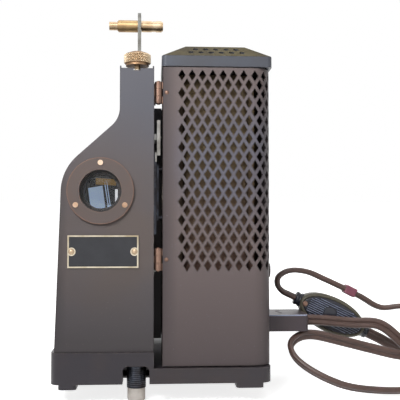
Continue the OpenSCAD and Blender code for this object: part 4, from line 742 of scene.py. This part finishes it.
placed(finished("framing_knob_knurled", knob_mesh), knurled_brass, ["framing_knob"],
       "framing_knob")
print("knurls:", KNURLS)

# %% [markdown]
# ## Name plate
# The plate is left bare. Its raised rim and the pads round the rivets are bright metal, and the sunk
# field is black. The same faces are found by how far forward they lie.

# %% Plate with a bright rim and a dark field
plate_mesh = welded("name_plate")
front = min(v.co.y for v in plate_mesh.verts)
for face in plate_mesh.faces:
    face.material_index = 0 if face.calc_center_median().y < front + 0.0001 else 1
plate = finished("name_plate_bare", plate_mesh)
plate.data.materials.append(plate_rim)
placed(plate, plate_field, ["name_plate"])
print("plate faces:", len(plate.data.polygons))

# %% [markdown]
# ## Switch in the cord
# The switch is an oval moulding with an olive rim. Its dark face carries fine ribs along its length,
# broken by a bare round boss and a screw, and short collars grip the cord.

# %% Where the switch lies, and an oval ring
SWITCH_A, SWITCH_B = Vector((0.0955, -0.017, 0.058)), Vector((0.145, -0.017, 0.034))
switch_centre = (SWITCH_A + SWITCH_B) / 2
along = (SWITCH_B - SWITCH_A).normalized()
upward = Vector((-along.z, 0, along.x))
HALF_LENGTH, HALF_WIDTH = (SWITCH_B - SWITCH_A).length / 2 - 0.0025, 0.0125


def on_switch(u, v, y):
    """A place on the switch: u along it, v across it, y front to back."""
    return switch_centre + u * along + v * upward + Vector((0, y, 0))


def oval_body(bm, profile, steps=64):
    """Ovals through (inset, y) steps, closed at both ends."""
    rings = [[bm.verts.new(on_switch((HALF_LENGTH - inset) * math.cos(2 * math.pi * k / steps),
                                     (HALF_WIDTH - inset) * math.sin(2 * math.pi * k / steps), y))
              for k in range(steps)] for inset, y in profile]
    for a, b in zip(rings, rings[1:]):
        for k in range(steps):
            bm.faces.new((a[k], a[(k + 1) % steps], b[(k + 1) % steps], b[k])).smooth = True
    bmesh.ops.contextual_create(bm, geom=rings[0])
    bmesh.ops.contextual_create(bm, geom=rings[-1])


# %% Rim, face and ribs
rim_mesh = bmesh.new()
oval_body(rim_mesh, [(0.0028, 0.0068), (0.0012, 0.0064), (0.0003, 0.0052), (0, 0.0035), (0, -0.0035),
                     (0.0003, -0.005), (0.001, -0.0059), (0.0019, -0.0062), (0.0024, -0.0058),
                     (0.0026, -0.0054)])
bmesh.ops.recalc_face_normals(rim_mesh, faces=rim_mesh.faces)
placed(finished("switch_rim", rim_mesh), switch_rim, ["cord_switch"])

face_mesh = bmesh.new()
oval_body(face_mesh, [(0.0027, -0.005), (0.0027, -0.0061), (0.0031, -0.0064), (0.0042, -0.0064)])
# Round spots on the face: place along, place across, radius
BOSS = (-0.0026, 0.0005, 0.0048)
SCREW = (-0.0214, -0.0009, 0.0019)


def clear_of(u, v, spots):
    """True where a place is outside every round spot."""
    return all((u - s[0]) ** 2 + (v - s[1]) ** 2 > s[2] ** 2 for s in spots)


RIB_PITCH, RIB_R, FACE_Y = 0.00142, 0.0005, -0.0063
inner_a, inner_b = HALF_LENGTH - 0.0036, HALF_WIDTH - 0.0036
rib_count = 0
for i in range(-7, 8):
    v = i * RIB_PITCH
    if abs(v) > inner_b - 0.0004:
        continue
    reach = inner_a * math.sqrt(1 - (v / inner_b) ** 2)
    cells = [-reach + 2 * reach * k / 120 for k in range(121)]
    run = []
    for u in cells + [None]:
        if u is not None and u > -0.0192 and clear_of(u, v, [BOSS]):
            run.append(u)
            continue
        if len(run) > 4:
            arc = [(v + RIB_R * math.cos(math.pi * s / 6), FACE_Y - RIB_R * 2 * math.sin(math.pi * s / 6))
                   for s in range(7)]
            rings = [[face_mesh.verts.new(on_switch(w, side, y)) for side, y in arc]
                     for w in (run[0], run[-1])]
            for k in range(6):
                rib = face_mesh.faces.new((rings[0][k], rings[0][k + 1], rings[1][k + 1], rings[1][k]))
                rib.smooth = True
                # The two top faces of each rib take the painted highlight.
                rib.material_index = 1 if k in (2, 3) else 0
            rib_count += 1
        run = []
bmesh.ops.recalc_face_normals(face_mesh, faces=face_mesh.faces)
face = finished("switch_face", face_mesh)
face.data.materials.append(switch_moulding)
face.data.materials.append(painted_rib_highlight)
placed(face, None, [])
print("ribs:", rib_count)

# %% Boss, screw and collars
def disc_on_switch(name, spot, profile, material, steps=40):
    """A turned disc standing on the switch's face."""
    bm = bmesh.new()
    rings = [[bm.verts.new(on_switch(spot[0] + r * math.cos(2 * math.pi * k / steps),
                                     spot[1] + r * math.sin(2 * math.pi * k / steps), y))
              for k in range(steps)] for r, y in profile]
    for a, b in zip(rings, rings[1:]):
        for k in range(steps):
            bm.faces.new((a[k], a[(k + 1) % steps], b[(k + 1) % steps], b[k])).smooth = True
    bmesh.ops.contextual_create(bm, geom=rings[-1])
    bmesh.ops.recalc_face_normals(bm, faces=bm.faces)
    return placed(finished(name, bm), material, [])


boss_profile = [(0.0046, -0.0062), (0.0046, -0.0068), (0.0043, -0.0071), (0.0036, -0.0069), (0.001, -0.0068)]
screw_profile = [(0.0019, -0.0062), (0.0019, -0.0068), (0.0014, -0.0071), (0.0004, -0.0071)]
disc_on_switch("switch_boss", BOSS, boss_profile, switch_moulding)
disc_on_switch("switch_screw", SCREW, screw_profile, hinge_brass)


def collar(name, end, sign):
    """A ribbed collar round the cord at one end of the switch."""
    bm = bmesh.new()
    steps = 40
    profile = [(0.0046, -0.006), (0.0049, -0.004), (0.0049, -0.0028), (0.0044, -0.0026),
               (0.0044, -0.0012), (0.0047, -0.001), (0.0047, 0.0004), (0.0042, 0.001), (0.002, 0.0011)]
    rings = [[bm.verts.new(end + along * sign * w + upward * r * math.cos(2 * math.pi * k / steps)
                           + Vector((0, r * math.sin(2 * math.pi * k / steps), 0)))
              for k in range(steps)] for r, w in profile]
    for a, b in zip(rings, rings[1:]):
        for k in range(steps):
            bm.faces.new((a[k], a[(k + 1) % steps], b[(k + 1) % steps], b[k])).smooth = True
    bmesh.ops.recalc_face_normals(bm, faces=bm.faces)
    return placed(finished(name, bm), switch_moulding, [])


collar("switch_collar_left", SWITCH_A, -1)
collar("switch_collar_right", SWITCH_B, 1)
print("switch length:", round((SWITCH_B - SWITCH_A).length, 4))

# %% [markdown]
# ## Tab
# A small red tab of tape is folded round the cord above the switch.

# %% Red tab on the cord
tab_mesh = bmesh.new()
bmesh.ops.create_cube(tab_mesh, size=1)
bmesh.ops.scale(tab_mesh, vec=(0.0085, 0.0086, 0.0062), verts=tab_mesh.verts)
bmesh.ops.bevel(tab_mesh, geom=tab_mesh.edges[:], offset=0.0008, segments=2, profile=0.5, affect="EDGES")
tab_turn = Matrix.Rotation(math.radians(27), 3, "Y")
bmesh.ops.rotate(tab_mesh, verts=tab_mesh.verts, cent=(0, 0, 0), matrix=tab_turn)
bmesh.ops.translate(tab_mesh, vec=(0.1335, -0.0187, 0.0629), verts=tab_mesh.verts)
placed(finished("cord_tab", tab_mesh), red_moulding, [])
print("tab placed")

# %% [markdown]
# ## Inside the lens mount
# Through the bore one sees the slanting mirror, and in it the sky-blue condenser, the dark gate with its
# bright window, and the brass above. The mirror's glass is rebuilt with bevelled edges on its place, in a
# dark glass that is a painted reflection of the gate, and thin strips on it are painted reflections of the
# rest, glowing a little, because the lamp side is not lit here.

# %% Mirror with bevelled edges
MIRROR_AT, MIRROR_W, MIRROR_H, MIRROR_T = Vector((-0.038, -0.05, 0.1302)), 0.024, 0.02, 0.0016
turn = Matrix.Rotation(math.radians(45), 4, "Z")


def slab(name, low, high, material, replaced, edge=0.0003, lean=0):
    """A box in the mirror's own axes, with bevelled edges, leaning a little in its plane."""
    bm = bmesh.new()
    bmesh.ops.create_cube(bm, size=1)
    size = [b - a for a, b in zip(low, high)]
    bmesh.ops.scale(bm, vec=size, verts=bm.verts)
    bmesh.ops.translate(bm, vec=[(a + b) / 2 for a, b in zip(low, high)], verts=bm.verts)
    bmesh.ops.bevel(bm, geom=bm.edges[:], offset=edge, segments=1, profile=0.5, affect="EDGES")
    matrix = Matrix.Translation(MIRROR_AT) @ turn @ Matrix.Rotation(math.radians(lean), 4, "Y")
    bmesh.ops.transform(bm, matrix=matrix, verts=bm.verts)
    return placed(finished(name, bm), material, replaced)


slab("mirror_glass", (-MIRROR_W / 2, 0, -MIRROR_H / 2), (MIRROR_W / 2, MIRROR_T, MIRROR_H / 2), dark_reflection_paint,
     ["mirror"], 0.0005)
STRIPS = [
    ("sky", (-0.0128, -0.0095), (-0.0006, 0.0050), sky_reflection_paint, -10),
    ("line", (0.0016, -0.0085), (0.0022, 0.0072), sky_reflection_paint, -12),
    ("second_line", (0.0034, -0.0085), (0.0040, 0.0072), sky_reflection_paint, -12),
    ("gold", (-0.0070, 0.0054), (0.0104, 0.0096), brass_reflection_paint, 0),
    ("window", (0.0098, -0.0070), (0.0119, 0.0030), window_reflection_paint, 0),
    ("glow", (0.0030, -0.0095), (0.0112, -0.0076), sky_reflection_paint, 0),
]
STRIP_FRONT, STRIP_BACK = -0.0006, -0.0002
for name, low, high, material, lean in STRIPS:
    slab("mirror_" + name, (low[0], STRIP_FRONT, low[1]), (high[0], STRIP_BACK, high[1]), material,
         [], 0.0001, lean)
print("strips:", len(STRIPS))

# %% [markdown]
# ## Screens and small sheet parts
# Thin sheets beside the liner and a tray below the roof vents keep the lamp's light inside; the liner's left
# wing is a lighter copy of it, which is painted light.
# A dark strip in the slit beside the gate stands for the shade there, a bright spring guides the film's
# edge, and the front sheet of the tower has two small horns. The corners are in millimetres.

# %% Plain sheet pieces
def sheet_piece(name, boxes, material, body="case", edge=0.0):
    """One piece made of boxes, each given by its low and high corner in millimetres."""
    bm = bmesh.new()
    for low, high in boxes:
        made = bmesh.ops.create_cube(bm, size=1)["verts"]
        bmesh.ops.scale(bm, vec=[(b - a) * MM for a, b in zip(low, high)], verts=made)
        bmesh.ops.translate(bm, vec=[(a + b) / 2 * MM for a, b in zip(low, high)], verts=made)
    if edge:
        bmesh.ops.bevel(bm, geom=bm.edges[:], offset=edge, segments=2, profile=0.5, affect="EDGES")
    return placed(finished(name, bm), material, [], body)


sheet_piece("side_screens", [((1.2, -20, 22), (13.9, -19.4, 205)), ((54.9, -20, 53), (67.4, -19.4, 205))],
            liner_sheet)
sheet_piece("roof_tray",
            [((4, -72, 206.7), (65, -12, 207.3)), ((4, -72, 207.1), (65, -71.4, 215)),
             ((26, -52, 207.1), (28, -50, 223.5)), ((42, -36, 207.1), (44, -34, 223.5))],
            motor_enamel, "lamp_lid")
sheet_piece("liner_wing_right", [((55.6, -62, 22), (59.6, -61.4, 205))], liner_sheet)
# The left wing takes the lighter copy of the liner, which is painted light.
sheet_piece("liner_wing_left", [((7.0, -66.6, 22), (13.1, -66.0, 205))], liner_painted_light)
sheet_piece("tower_horns",
            [((-26.4, -78, 206.9), (-25.5, -77, 208.4)), ((-6.0, -78, 206.9), (-5.1, -77, 208.4))],
            housing_enamel, edge=0.0002)
# A dark strip in the slit beside the gate is painted shade.
sheet_piece("gate_slit_painted_shade", [((-0.1, -22.3, 60), (0.28, -20.3, 190))], motor_enamel)
sheet_piece("edge_spring",
            [((-3.4, -61.6, 154), (-0.9, -61.0, 177)), ((-4.6, -61.6, 150), (-3.2, -60.4, 156))],
            turned_steel, edge=0.0002)
print("sheet pieces made")
